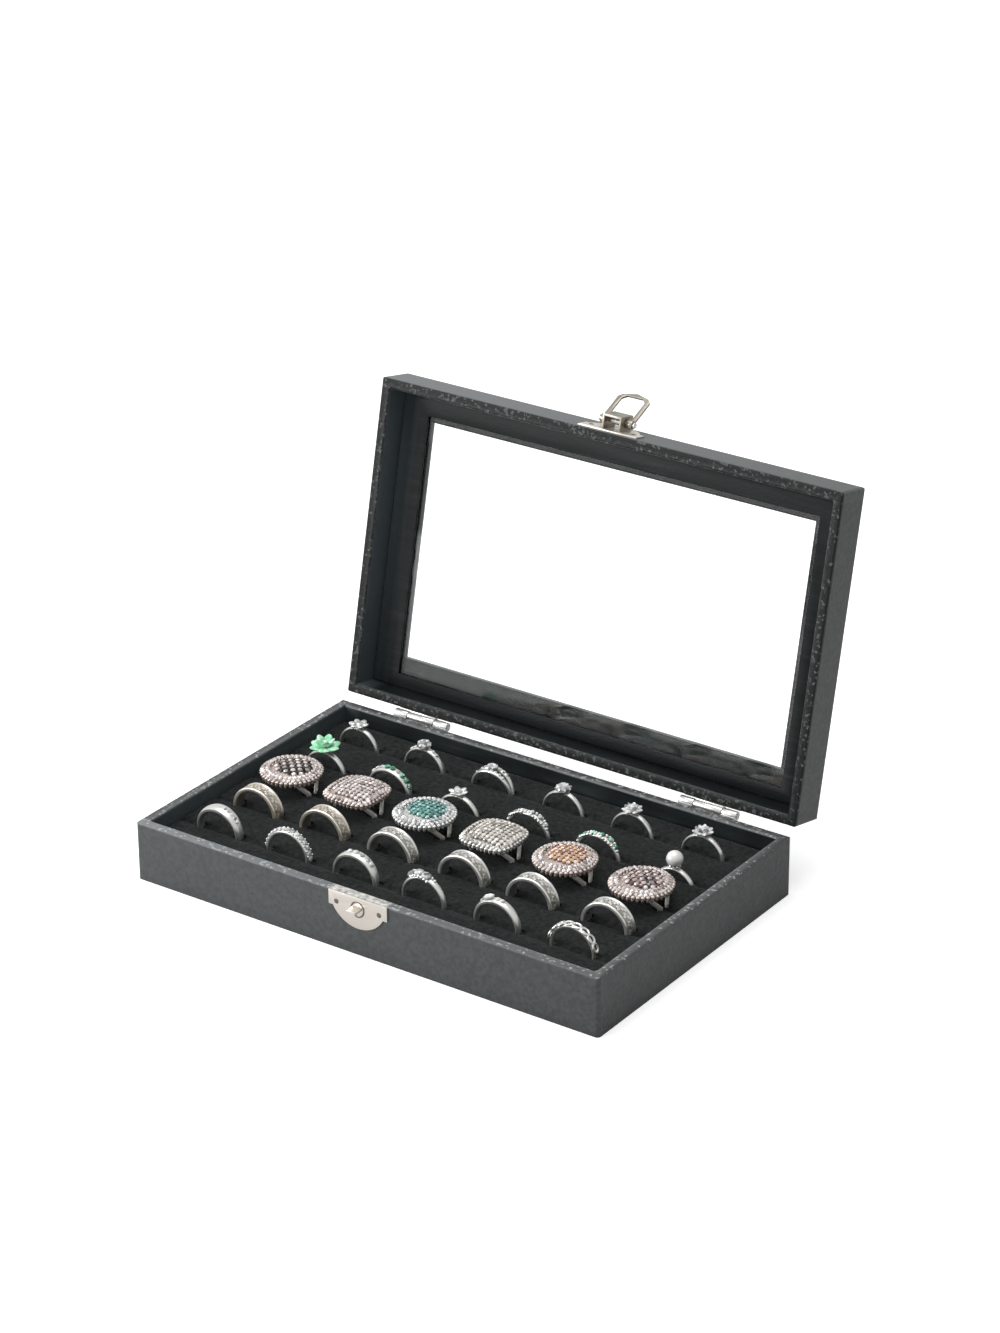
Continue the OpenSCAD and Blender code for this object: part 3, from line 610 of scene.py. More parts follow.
# %% Dress the CAD pieces
DRESS = {
    tray_leather: ["base_cover"],
    lid_leather: ["lid_cover"],
    window_leather: ["lid_panel"],
    chipboard: [
        "base_front_wall",
        "base_back_wall",
        "base_left_wall",
        "base_right_wall",
        "base_floor",
        "lid_front_wall",
        "lid_back_wall",
        "lid_left_wall",
        "lid_right_wall",
    ],
    black_card: ["base_underlay", "insert_card"],
    pane_glass: ["window_pane"],
    bright_steel: ["hinge_pins", "latch_pin", "latch_spring"],
    # the nails are painted dark: painted shade of the holes they sit in
    shade_dark_nickel: ["base_nails", "lid_nails"],
}
for material, nodes in DRESS.items():
    for node in nodes:
        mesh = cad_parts[node].data
        mesh.materials.clear()
        mesh.materials.append(material)
    print(material.name, "on", len(nodes))

# %% [markdown]
# ## Pressed metal fittings
# The plates, the bracket, the loop and the hinge leaves are punched from sheet, and punching and
# plating leave every edge slightly round. Sharp CAD edges reflect nothing, so a merged copy of
# each gets a small bevel, and the copy stands for the node.


# %% Pressed fittings
PRESSED_EDGE = 0.14 * MM


def softened(node, material, body):
    """A CAD fitting with its edges rounded."""
    piece = cad_copy(node + "_pressed", node)
    modify(piece, "BEVEL", width=PRESSED_EDGE, segments=2, limit_method="ANGLE", angle_limit=0.6)
    return set_down(piece, material, body, [node])


for side in ("left", "right"):
    softened(side + "_hinge_base_leaf", bright_steel, "tray")
    softened(side + "_hinge_lid_leaf", bright_steel, "lid")
softened("catch_plate", lit_nickel, "tray")
softened("latch_plate", lit_nickel, "lid")
softened("latch_bracket", nickel, "lid")
softened("latch_loop", nickel, "latch_loop")

# %% [markdown]
# The hook was pressed out of the catch plate with a round punch, which left a shallow ring round
# it. The ring is a flattened torus, half sunk in the plate, and painted dark: painted shade, the
# shade of the recess.

# %% Ring round the hook
PLATE_THICK = 0.6 * MM
HOOK_Z = 18.4 * MM
put_down()
bpy.ops.mesh.primitive_torus_add(
    location=(0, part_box("catch_plate")[1].y - PLATE_THICK, HOOK_Z),
    rotation=(math.radians(90), 0, 0),
    major_segments=40,
    minor_segments=8,
    major_radius=2.7 * MM,
    minor_radius=0.35 * MM,
)
shade_ring = name_new("catch_plate_shade_ring")
select(shade_ring, "VERT")
bpy.ops.transform.resize(value=(1, 0.4, 1.05))
set_down(shade_ring, shade_dark_nickel, "tray", angle=60)

# %% [markdown]
# ## Frame that holds the pane
# A strip of card, covered with the lining paper, is glued round the pane. It was cut by hand: its
# left side reaches the edge of the window and hides the glass there, the others stop short of it.

# %% Pane frame
WINDOW_X = 84 * MM
pane_card = cad_copy("pane_frame_card", "pane_frame")
inner_x = max(v.co.x for v in pane_card.data.vertices if v.co.x < 0)
select(pane_card, "VERT", lambda m, n: abs(m.x - inner_x) < 0.1 * MM)
bpy.ops.transform.translate(value=(-WINDOW_X - 0.2 * MM - inner_x, 0, 0))
put_down()
modify(pane_card, "BEVEL", width=0.2 * MM, segments=2, limit_method="ANGLE", angle_limit=0.6)
set_down(pane_card, lid_leather, "lid", ["pane_frame"])
print("frame's left side moved from", round(inner_x / MM, 2), "mm")

# %% [markdown]
# ## Foam rolls
# Six rolls of foam lie side by side in the tray, and each slot between two of them grips a row of
# rings. Foam that is squeezed into a box swells where it can, so its tops are crowned and its
# edges soft. Each roll starts as a box with its two top edges bevelled round, a bit too small.
# A cloth simulation with air pressure then swells them, a cap keeps the swelling under a
# millimetre, and one subdivision smooths the result.

# %% Foam rolls: start
foam_low, foam_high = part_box("foam_rolls")
ROW_PITCH = 21 * MM
ROWS_Y = [row * ROW_PITCH for row in (-2, -1, 0, 1, 2)]
HALF_SLOT = 0.4 * MM
# how much too small a roll starts
SHY = 0.5 * MM
fronts = [foam_low.y] + [row + HALF_SLOT for row in ROWS_Y]
backs = [row - HALF_SLOT for row in ROWS_Y] + [foam_high.y]
rolls = []
for front, back in zip(fronts, backs):
    put_down()
    bpy.ops.mesh.primitive_cube_add(
        size=1,
        location=((foam_low.x + foam_high.x) / 2, (front + back) / 2, (foam_low.z + foam_high.z) / 2),
        scale=(
            foam_high.x - foam_low.x,
            back - front - SHY,
            foam_high.z - foam_low.z - SHY,
        ),
    )
    roll = name_new("foam_roll")
    bpy.ops.object.transform_apply(location=True, rotation=True, scale=True)
    top = max(v.co.z for v in roll.data.vertices)
    ends = max(v.co.x for v in roll.data.vertices)
    select(roll, "EDGE", lambda m, n: abs(m.z - top) < 1e-6 and abs(m.x) < ends - 1e-6)
    bpy.ops.mesh.bevel(offset=2 * MM, segments=4, affect="EDGES")
    rolls.append(roll)
foam = join("foam_padding", rolls)
modify(foam, "REMESH", mode="VOXEL", voxel_size=1.5 * MM)
print("foam mesh:", len(foam.data.vertices), "vertices")

# %% Foam rolls: swell
before = [v.co.copy() for v in foam.data.vertices]
take(foam)
cloth = foam.modifiers.new("swell", "CLOTH")
cloth.settings.use_pressure = True
cloth.settings.uniform_pressure_force = 4
cloth.settings.effector_weights.gravity = 0
cloth.settings.tension_stiffness = 15
cloth.settings.bending_stiffness = 0.5
for step in range(1, 21):
    bpy.context.scene.frame_set(step)
bpy.ops.object.modifier_apply(modifier="swell")
bpy.context.scene.frame_set(1)
CAP = 0.5 * MM
furthest = 0
for vertex, start in zip(foam.data.vertices, before):
    shift = vertex.co - start
    furthest = max(furthest, shift.length)
    if shift.length > CAP:
        vertex.co = start + shift * (CAP / shift.length)
print("foam swelled by", round(furthest / MM, 2), "mm before the cap")
modify(foam, "SUBSURF", levels=1, render_levels=1)

# %% [markdown]
# Where a ring stands in its slot the foam gives way: the two rolls lean aside by half the band's
# width. The move is made on the vertices themselves, because a tool would move them all alike.
# First comes what each ring measures, in millimetres, because the bands are built from it later.

# %% Ring sizes
BORE = {"a": 7.9, "b": 8.3, "c": 8.2, "d": 8.2, "e": 7.9}
# thickness at the top and at the foot, width at the top and at the foot
BANDS = {
    "a1": (2.28, 1.5, 5.2, 2.6),
    "a2": (1.92, 1.68, 3.2, 3.0),
    "a3": (2.04, 1.38, 4.4, 2.2),
    "a4": (1.56, 1.38, 5.0, 2.2),
    "a5": (2.04, 1.38, 3.6, 2.0),
    "a6": (1.68, 1.5, 4.4, 3.6),
    "d1": (1.32, 1.2, 2.4, 1.8),
    "d2": (1.68, 1.32, 4.0, 2.0),
    "d3": (1.32, 1.2, 2.2, 1.8),
    "d4": (1.5, 1.38, 4.4, 2.0),
    "d5": (1.5, 1.38, 4.6, 2.0),
    "d6": (1.32, 1.2, 2.2, 1.8),
    "e1": (1.2, 1.08, 2.1, 1.7),
    "e2": (1.32, 1.08, 2.6, 1.7),
    "e3": (1.38, 1.08, 3.8, 1.7),
    "e4": (1.2, 1.08, 2.1, 1.7),
    "e5": (1.2, 1.08, 2.1, 1.7),
    "e6": (1.2, 1.08, 2.1, 1.7),
}
for column in "123456":
    BANDS["b" + column] = (1.56, 1.56, 5.6, 5.6)
    BANDS["c" + column] = (1.32, 1.2, 7.6, 4.8)
# the pearl ring is a smaller size than the rest of its row
SMALL_BORE = {"d6": 7.462}


def ring_sizes(key):
    """Centre of a ring's hole, its inside radius, and its four band sizes, in metres."""
    low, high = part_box("ring_" + key)
    inside = SMALL_BORE.get(key, BORE[key[0]]) * MM
    sizes = [size * MM for size in BANDS[key]]
    middle = (low + high) / 2
    return Vector((middle.x, middle.y, low.z + sizes[1] + inside)), inside, *sizes


# %% Foam rolls: give way to the rings
ROOM = 0.25 * MM
moved = 0
for key in BANDS:
    at, inside, t_top, t_foot, w_top, w_foot = ring_sizes(key)
    for vertex in foam.data.vertices:
        off = vertex.co - at
        if abs(off.y) > w_top / 2 + ROOM or abs(off.x) > inside + 3 * MM:
            continue
        reach = math.hypot(off.x, off.z)
        if inside - 3 * ROOM < reach < inside + t_top + 3 * ROOM:
            up = min(1, max(0, (off.z + inside) / (2 * inside)))
            half = (w_foot + (w_top - w_foot) * up) / 2 + ROOM
            if abs(off.y) < half:
                vertex.co.y = at.y + math.copysign(half, off.y)
                moved += 1
print("foam vertices that give way:", moved)
foam_piece = set_down(foam, flock, "tray", ["foam_rolls"], angle=60)

# %% [markdown]
# ## Stamps
# A jeweller sets the same few shapes again and again: a cut stone, a bead of metal that holds it,
# a thin post, a petal. Each is modelled once. The stone is an eight sided drum: its top is inset
# and lifted to make the table, its bottom drawn down to a point.

# %% Stamps
put_down()
bpy.ops.mesh.primitive_cylinder_add(vertices=8, radius=0.5, depth=0.16)
stone_stamp = name_new("stone_stamp")
select(stone_stamp, "FACE", lambda m, n: n.z > 0.9)
bpy.ops.mesh.inset(thickness=0.2)
bpy.ops.transform.translate(value=(0, 0, 0.17))
select(stone_stamp, "FACE", lambda m, n: n.z < -0.9)
bpy.ops.mesh.inset(thickness=0.4)
bpy.ops.transform.translate(value=(0, 0, -0.3))

put_down()
bpy.ops.mesh.primitive_ico_sphere_add(subdivisions=2, radius=0.5)
bead_stamp = name_new("bead_stamp")
select(bead_stamp, "VERT", lambda m, n: m.z < -0.1)
bpy.ops.transform.resize(value=(0.8, 0.8, 1.1))

put_down()
bpy.ops.mesh.primitive_cylinder_add(vertices=8, radius=0.5, depth=1, location=(0, 0, 0.5))
post_stamp = name_new("post_stamp")
bpy.ops.object.transform_apply(location=True, rotation=False, scale=False)
select(post_stamp, "FACE", lambda m, n: abs(n.z) > 0.9)
bpy.ops.mesh.inset(thickness=0.12)

put_down()
bpy.ops.mesh.primitive_uv_sphere_add(segments=10, ring_count=8, radius=0.5, location=(0, 0, 0.5))
petal_stamp = name_new("petal_stamp")
bpy.ops.object.transform_apply(location=True, rotation=False, scale=False)
select(petal_stamp, "VERT")
bpy.ops.transform.resize(value=(0.3, 0.5, 1))
select(petal_stamp, "VERT", lambda m, n: m.z < 0.3)
bpy.ops.transform.resize(value=(0.7, 0.5, 1))
select(petal_stamp, "VERT", lambda m, n: m.z > 0.8)
bpy.ops.transform.resize(value=(0.8, 0.9, 1))
put_down()
STAMPS = [stone_stamp, bead_stamp, post_stamp, petal_stamp]


def stamped(name, stamp, places):
    """Copies of a stamp, each with its own mesh, joined: places are (where, way out, size or sizes)."""
    copies = []
    for where, out, size in places:
        sizes = Vector(size) if isinstance(size, (tuple, list)) else Vector((size, size, size))
        mesh = stamp.data.copy()
        turn = Vector(out).normalized().to_track_quat("Z", "X")
        mesh.transform(Matrix.LocRotScale(Vector(where), turn, sizes))
        copy = bpy.data.objects.new(name, mesh)
        bpy.context.collection.objects.link(copy)
        copies.append(copy)
    return join(name, copies)


# %% [markdown]
# ## Bands
# A plain ring band is a torus: its section is drawn out to the band's width, its outer half is
# lifted so the metal is thicker at the top, and a taper makes it wider there. A flat band is a
# tube instead, so it is made from a drum whose two ends are inset and bridged.


# %% Bands
def band(key, name, width=1.0, spread=0.0):
    """A rounded band for a ring: its share of the width, and how far it leans aside at the top."""
    at, inside, t_top, t_foot, w_top, w_foot = ring_sizes(key)
    thick, wide = (t_top + t_foot) / 2, width * (w_top + w_foot) / 2
    put_down()
    bpy.ops.mesh.primitive_torus_add(
        location=at,
        rotation=(math.radians(90), 0, 0),
        major_segments=96,
        minor_segments=14,
        major_radius=inside + thick / 2,
        minor_radius=thick / 2,
    )
    piece = name_new(name)
    select(piece, "VERT")
    bpy.ops.transform.resize(value=(1, wide / thick, 1))
    select(piece, "VERT", lambda m, n: math.hypot(m.x, m.z) > inside + thick / 2)
    bpy.ops.transform.translate(value=(0, 0, (t_top - t_foot) / 2))
    put_down()
    taper = 2 * (w_top - w_foot) / (w_top + w_foot)
    modify(piece, "SIMPLE_DEFORM", deform_method="TAPER", deform_axis="Z", lock_x=True, factor=taper)
    for vertex in piece.data.vertices:
        height = max(0, (vertex.co.z + inside) / (2 * inside))
        vertex.co.y += spread * height**1.6
    return piece


RAIL = 1.0 * MM
RAIL_ROUND = 0.5 * MM
CHANNEL_DEEP = 0.35 * MM


def flat_band(key, name, metal):
    """A flat band with rounded edges and a sunk, aged channel between two rails."""
    at, inside, t_top, t_foot, w_top, w_foot = ring_sizes(key)
    put_down()
    bpy.ops.mesh.primitive_cylinder_add(
        vertices=96,
        radius=inside + t_top,
        depth=w_top,
        location=at,
        rotation=(math.radians(90), 0, 0),
    )
    piece = name_new(name)
    select(piece, "FACE", lambda m, n: abs(n.y) > 0.9)
    bpy.ops.mesh.inset(thickness=t_top, use_individual=True)
    bpy.ops.mesh.bridge_edge_loops()
    put_down()
    modify(piece, "BEVEL", width=RAIL_ROUND, segments=4, limit_method="ANGLE", angle_limit=0.7)
    reach = inside + t_top - 0.02 * MM
    select(piece, "FACE", lambda m, n: abs(n.y) < 0.05 and math.hypot(m.x, m.z) > reach)
    bpy.ops.mesh.inset(thickness=RAIL - RAIL_ROUND)
    bpy.ops.transform.shrink_fatten(value=-CHANNEL_DEEP)
    piece.data.materials.append(metal)
    piece.data.materials.append(aged)
    piece.active_material_index = 1
    bpy.ops.object.material_slot_assign()
    put_down()
    return piece


def on_band(key, angles, size, across=lambda turn: 0.0, lift=0.0):
    """Places along a band's outside: angles in degrees from its top, towards +X."""
    at, inside, t_top, t_foot, w_top, w_foot = ring_sizes(key)
    spots = []
    for angle in angles:
        turn = math.radians(angle)
        out = Vector((math.sin(turn), 0, math.cos(turn)))
        radius = inside + (t_top + t_foot) / 2 + lift
        centre = at + Vector((0, across(turn), (t_top - t_foot) / 2))
        spots.append((centre + out * radius, out, size))
    return spots


def ring_down(piece, key, material, stands=False, angle=35):
    """Finishes a piece of a ring."""
    node = "ring_" + key
    return set_down(piece, material, node, [node] if stands else (), angle)


def set_stones(key, places, stone, name="stones"):
    """Sets stones on a ring. Their facets stay flat."""
    ring_down(stamped(f"ring_{key}_{name}", stone_stamp, places), key, stone, angle=0)


def solder(key, name, stamp, places, metal, angle=35):
    """Solders beads, posts, petals, links or tiles to a ring."""
    ring_down(stamped(f"ring_{key}_{name}", stamp, places), key, metal, angle=angle)


# %% [markdown]
# ## Front row
# Six dress rings with tapered bands, most of them broad at the top. One is studded all the way
# round, one carries a slanting cluster, three have a few small stones and the last is a chain of
# open links.

# %% Front row
ring_down(band("a1", "ring_a1_band"), "a1", silver, stands=True)
set_stones("a1", on_band("a1", range(16, 66, 10), 1.5 * MM, lift=0.05 * MM), white_stone)

ring_down(band("a2", "ring_a2_band", 0.9), "a2", silver, stands=True)
set_stones("a2", on_band("a2", range(-84, 85, 12), 1.9 * MM, lift=0.1 * MM), white_stone)
beads = []
for side in (-1.15 * MM, 1.15 * MM):
    beads += on_band("a2", range(-78, 79, 12), 0.8 * MM, lambda turn, s=side: s)
solder("a2", "beads", bead_stamp, beads, silver)

ring_down(band("a3", "ring_a3_band"), "a3", silver, stands=True)
set_stones("a3", on_band("a3", (-14, 2, 18, 33, 47), 2.0 * MM, lift=0.1 * MM), white_stone)

ring_down(band("a4", "ring_a4_band", 0.55), "a4", silver, stands=True)
SLANT = 2.2 * MM
stones = on_band("a4", (-36, -14, 8), 3.6 * MM, lambda turn: -SLANT * turn, 0.7 * MM)
set_stones("a4", stones, white_stone)
beads = on_band("a4", range(-44, 36, 9), 1.3 * MM, lambda turn: 1.5 * MM - SLANT * turn)
beads += on_band("a4", range(-36, 20, 9), 1.3 * MM, lambda turn: -1.5 * MM - SLANT * turn)
solder("a4", "beads", bead_stamp, beads, silver)

ring_down(band("a5", "ring_a5_band"), "a5", silver, stands=True)
stones = on_band("a5", (-20,), (4.6 * MM, 3.2 * MM, 3.0 * MM), lift=0.5 * MM)
stones += on_band("a5", (-40, 2, 14), 1.8 * MM, lift=0.1 * MM)
set_stones("a5", stones, white_stone, "stone")

ring_down(band("a6", "ring_a6_band", 0.4), "a6", silver, stands=True)
put_down()
bpy.ops.mesh.primitive_torus_add(
    major_segments=16, minor_segments=8, major_radius=0.5, minor_radius=0.16
)
link_stamp = name_new("link_stamp")
select(link_stamp, "VERT")
bpy.ops.transform.resize(value=(1.05, 0.85, 0.9))
put_down()
STAMPS.append(link_stamp)
solder("a6", "links", link_stamp, on_band("a6", range(-70, 71, 20), 3.0 * MM, lift=0.2 * MM), silver)

# %% [markdown]
# ## Second row
# Six flat bands, 5.6 mm wide, with two polished rails and a row of small raised tiles in the sunk
# channel between them. Two of them are gilt.

# %% Second row
put_down()
bpy.ops.mesh.primitive_cube_add(size=1)
tile_stamp = name_new("tile_stamp")
select(tile_stamp, "FACE", lambda m, n: n.z > 0.9)
bpy.ops.mesh.inset(thickness=0.18)
bpy.ops.transform.translate(value=(0, 0, 0.2))
put_down()
STAMPS.append(tile_stamp)
TILE = (0.95 * MM, 1.1 * MM, 0.3 * MM)
for column in "123456":
    key = "b" + column
    metal, slot = (gilt, "gilt_ring") if column in "12" else (silver, "silver_ring")
    ring_down(flat_band(key, f"ring_{key}_band", metal), key, None, stands=True)
    tiles = []
    for i, angle in enumerate(range(-90, 91, 5)):
        side = (-1.0, 0.4, 1.1, -0.3)[i % 4] * MM
        tiles += on_band(key, (angle,), TILE, lambda turn, s=side: s, -0.25 * MM)
    solder(key, "tiles", tile_stamp, tiles, metal)

# %% [markdown]
# ## Cocktail rings
# Six large rings, round and cushion shaped, in the middle row. Each has a split shank, a gallery
# of thin posts, a shallow domed dish, a rim of beads, rows of pale stones and a field of coloured
# ones set on a square grid. The dish is the top of the CAD ring, cut off with a bisect, so the
# stones sit on the CAD dome: its height under any point is that of a sphere. The split shank is
# two wires that part towards the head. No primitive leans aside as it goes round, so each wire is
# a line of points drawn out as a thin tube and made a mesh.

# %% Cocktail rings: the dish and where stones go
HEAD_R = 11.8 * MM
RISE = 2.0 * MM
EDGE = 1.1 * MM
CONE = 1.5 * MM
DOME_R = (HEAD_R**2 + RISE**2) / (2 * RISE)
CUSHION = 0.45 * 23.6 * MM
PALE_PITCH = 1.75 * MM
FIELD_PITCH = 1.85 * MM


def outline(cushion, share, pitch):
    """Evenly spaced points along a head's outline, drawn in to a share of its size."""
    power = 0.5 if cushion else 1.0
    reach = (CUSHION if cushion else HEAD_R) * share
    loop = []
    for i in range(721):
        turn = math.radians(i / 2)
        x, y = math.cos(turn), math.sin(turn)
        loop.append(
            Vector((math.copysign(abs(x) ** power, x), math.copysign(abs(y) ** power, y))) * reach
        )
    steps = [(b - a).length for a, b in zip(loop, loop[1:])]
    count = max(1, round(sum(steps) / pitch))
    gap, walked, points = sum(steps) / count, 0.0, []
    for point, step in zip(loop, steps):
        if walked >= gap * len(points) - 1e-9 and len(points) < count:
            points.append(point)
        walked += step
    return points


def inside_outline(cushion, share, x, y):
    """Whether a point lies within a head's outline, drawn in to a share of its size."""
    power = 4 if cushion else 2
    reach = (CUSHION if cushion else HEAD_R) * share
    return abs(x / reach) ** power + abs(y / reach) ** power < 1


def on_dome(key, points, size, lift):
    """Places on the dome of a cocktail ring's head, each point an offset from its middle."""
    low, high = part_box("ring_" + key)
    middle = Vector(((low.x + high.x) / 2, (low.y + high.y) / 2, high.z - DOME_R))
    spots = []
    for point in points:
        rise = math.sqrt(DOME_R**2 - point.x**2 - point.y**2)
        out = Vector((point.x * 2, point.y * 2, rise)).normalized()
        spots.append((middle + Vector((point.x, point.y, rise)) + out * lift, out, size))
    return spots


def grid(cushion, share, pitch):
    """Even and odd points of a square grid inside the outline, and the corners between them."""
    even, odd, corners = [], [], []
    for i in range(-9, 10):
        for j in range(-9, 10):
            point = Vector((i, j)) * pitch
            if inside_outline(cushion, share, *point):
                (odd if (i + j) % 2 else even).append(point)
            point += Vector((0.5, 0.5)) * pitch
            if inside_outline(cushion, share, *point):
                corners.append(point)
    return even, odd, corners


# %% Cocktail rings
# cushion shaped, share of the head that the coloured field takes, its stones by turns, the pale
# stones round it, metal. Shares of the head's size: its outermost row of pale stones, the step from
# row to row, and the step from a row to the beads within it.
FIRST_ROW, ROW_STEP, BEAD_STEP = 0.88, 0.135, 0.067
HEADS = {
    "c1": (False, 0.6, onyx_stone, blush_stone, blush_stone, rose, "rose_ring"),
    "c2": (True, 0.78, blush_stone, blush_stone, blush_stone, rose, "silver_ring"),
    "c3": (False, 0.6, teal_stone, teal_stone, white_stone, silver, "silver_ring"),
    "c4": (True, 0.78, champagne_stone, champagne_stone, champagne_stone, silver, "silver_ring"),
    "c5": (False, 0.6, amber_stone, peach_stone, blush_stone, rose, "rose_ring"),
    "c6": (False, 0.6, garnet_stone, blush_stone, blush_stone, rose, "rose_ring"),
}


def shank_wire(key, name, side, top, thick):
    """A wire bent to a U: half a circle under the finger, up out of the foam, then out to the head."""
    at, inside, t_top, t_foot = ring_sizes(key)[:4]
    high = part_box("ring_" + key)[1].z - RISE - EDGE - 0.3 * MM
    radius = inside + t_foot / 2
    head_end = Vector((*top, high - at.z))
    foam_top = Vector((radius, side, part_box("foam_rolls")[1].z - at.z))
    path = [at + head_end * Vector((-1, 1, 1)), at + foam_top * Vector((-1, 1, 1))]
    for step in range(33):
        turn = math.radians(-90 - 180 * step / 32)
        sunk = side * (0.3 + 0.7 * abs(math.sin(turn)))
        path.append(at + Vector((radius * math.sin(turn), sunk, radius * math.cos(turn))))
    path += [at + foam_top, at + head_end]
    curve = bpy.data.curves.new(name, "CURVE")
    curve.dimensions = "3D"
    curve.bevel_depth = thick / 2
    curve.bevel_resolution = 3
    curve.use_fill_caps = True
    spline = curve.splines.new("POLY")
    spline.points.add(len(path) - 1)
    for point, where in zip(spline.points, path):
        point.co = (*where, 1)
    piece = bpy.data.objects.new(name, curve)
    bpy.context.collection.objects.link(piece)
    take(piece)
    bpy.ops.object.convert(target="MESH")
    return bpy.context.object


for key, (cushion, share, even_stone, odd_stone, pale_stone, metal, slot) in HEADS.items():
    low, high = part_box("ring_" + key)
    wires = [
        shank_wire(key, f"ring_{key}_back_wire", 2.7 * MM, (6.6 * MM, 6.8 * MM), 1.5 * MM),
        shank_wire(key, f"ring_{key}_front_wire", -1.4 * MM, (6.4 * MM, -6.4 * MM), 1.9 * MM),
    ]
    ring_down(join(f"ring_{key}_shank", wires), key, lit_shank_silver, stands=True)
    middle = Vector(((low.x + high.x) / 2, (low.y + high.y) / 2, 0))
    dish = cad_copy(f"ring_{key}_dish", "ring_" + key)
    select(dish, "FACE")
    level = high.z - RISE - EDGE - CONE * 0.4
    bpy.ops.mesh.bisect(
        plane_co=(0, 0, level), plane_no=(0, 0, 1), use_fill=True, clear_inner=True
    )
    select(dish, "VERT")
    bpy.ops.transform.resize(value=(0.92, 0.92, 1), center_override=middle)
    bpy.ops.transform.translate(value=(0, 0, -0.35 * MM))
    put_down()
    modify(dish, "BEVEL", width=0.3 * MM, segments=3, limit_method="ANGLE", angle_limit=0.6)
    ring_down(dish, key, metal)
    rim_z = high.z - RISE - EDGE / 2
    beads = [
        (middle + Vector((p.x, p.y, rim_z + 0.3 * MM)), Vector((p.x, p.y, 0.006)), 1.6 * MM)
        for p in outline(cushion, 0.94, PALE_PITCH)
    ]
    beads += [
        (middle + Vector((p.x, p.y, rim_z - 0.8 * MM)), (0, 0, 1), (1.3 * MM, 1.3 * MM, 1.8 * MM))
        for p in outline(cushion, 0.92, PALE_PITCH)
    ]
    even, odd, corners = grid(cushion, share, FIELD_PITCH)
    pale = []
    row_share = FIRST_ROW
    while row_share > share + 0.07:
        pale += on_dome(key, outline(cushion, row_share, PALE_PITCH), PALE_PITCH, 0.2 * MM)
        between_rows = outline(cushion, row_share - BEAD_STEP, PALE_PITCH)
        beads += on_dome(key, between_rows, 0.7 * MM, 0.2 * MM)
        row_share -= ROW_STEP
    beads += on_dome(key, corners, 0.65 * MM, 0.3 * MM)
    solder(key, "beads", bead_stamp, beads, metal)
    set_stones(key, pale, pale_stone, "pale_stones")
    for name, points, stone in (("even", even, even_stone), ("odd", odd, odd_stone)):
        set_stones(key, on_dome(key, points, FIELD_PITCH, 0.2 * MM), stone, name + "_stones")
    posts = []
    foot_z = high.z - RISE - EDGE - 1.3 * MM
    for p in outline(cushion, 0.8, 3.2 * MM):
        start = middle + Vector((p.x * 0.55, p.y * 0.55, foot_z))
        end = middle + Vector((p.x, p.y, high.z - RISE - EDGE))
        posts.append((start, end - start, (0.7 * MM, 0.7 * MM, (end - start).length)))
    solder(key, "gallery", post_stamp, posts, metal)

# %% [markdown]
# ## Fourth row
# Slender rings: two flowers, one in green enamel, three bands of stones, of which two wind over
# the top, and a pearl on a cup.


# %% Flower heads
def above(key, high):
    """The point above the middle of a ring's band."""
    at, inside, t_top = ring_sizes(key)[:3]
    return at + Vector((0, 0, inside + t_top + high))


def star(key, count, size, tilt, high, start=0.0):
    """Places of petals or stones round a head's middle, that lean up by tilt degrees."""
    spots = []
    for i in range(count):
        turn, rise = math.radians(start + 360 * i / count), math.radians(tilt)
        flat = Vector((math.cos(turn), math.sin(turn), 0))
        out = flat * math.cos(rise) + Vector((0, 0, math.sin(rise)))
        spots.append((above(key, high), out, size))
    return spots


def basket(key, spread, posts=6, high=1.6 * MM, thick=0.55 * MM):
    """Posts that carry a head: from the top of the band outwards."""
    spots = []
    for i in range(posts):
        turn = math.radians(360 * i / posts)
        out = Vector((math.cos(turn), math.sin(turn), 0))
        way = out * (spread - 0.5 * MM) + Vector((0, 0, high + 0.5 * MM))
        spots.append((above(key, -0.3 * MM) + out * 0.5 * MM, way, (thick, thick, way.length)))
    return spots


# %% Fourth row
def winding(reach):
    """A line that winds over the top of a band, as far to each side as its reach."""
    return lambda turn: reach * math.sin(3.2 * turn)


ring_down(band("d1", "ring_d1_band"), "d1", silver, stands=True)
solder("d1", "basket", post_stamp, basket("d1", 2.2 * MM, high=0.8 * MM), silver)
petals = star("d1", 6, (5.4 * MM, 9.6 * MM, 6.3 * MM), 14, 0.7 * MM)
petals += star("d1", 5, (5.2 * MM, 7.8 * MM, 5.6 * MM), 48, 1.0 * MM, 25)
solder("d1", "flower", petal_stamp, petals, green_enamel, angle=50)
set_stones("d1", [(above("d1", 3.6 * MM), (0, 0, 1), 2.0 * MM)], white_stone, "stone")

ring_down(band("d3", "ring_d3_band"), "d3", silver, stands=True)
solder("d3", "basket", post_stamp, basket("d3", 2.2 * MM, high=0.8 * MM), silver)
petals = star("d3", 6, (4.6 * MM, 5.0 * MM, 3.9 * MM), 20, 0.2 * MM, 15)
solder("d3", "petals", petal_stamp, petals, silver, angle=50)
stones = [(where + out * 2.6 * MM, (0, 0, 1), 2.0 * MM) for where, out, size in petals]
stones.append((above("d3", 1.3 * MM), (0, 0, 1), 3.2 * MM))
set_stones("d3", stones, white_stone)

ring_down(band("d2", "ring_d2_band"), "d2", silver, stands=True)
greens = on_band("d2", (-6, 8, 36, 50, 64), 2.3 * MM, lift=0.2 * MM)
set_stones("d2", greens, green_stone, "green")
whites = on_band("d2", (-48, -34, -20, 22), 1.9 * MM, lift=0.15 * MM)
set_stones("d2", whites, white_stone, "white")

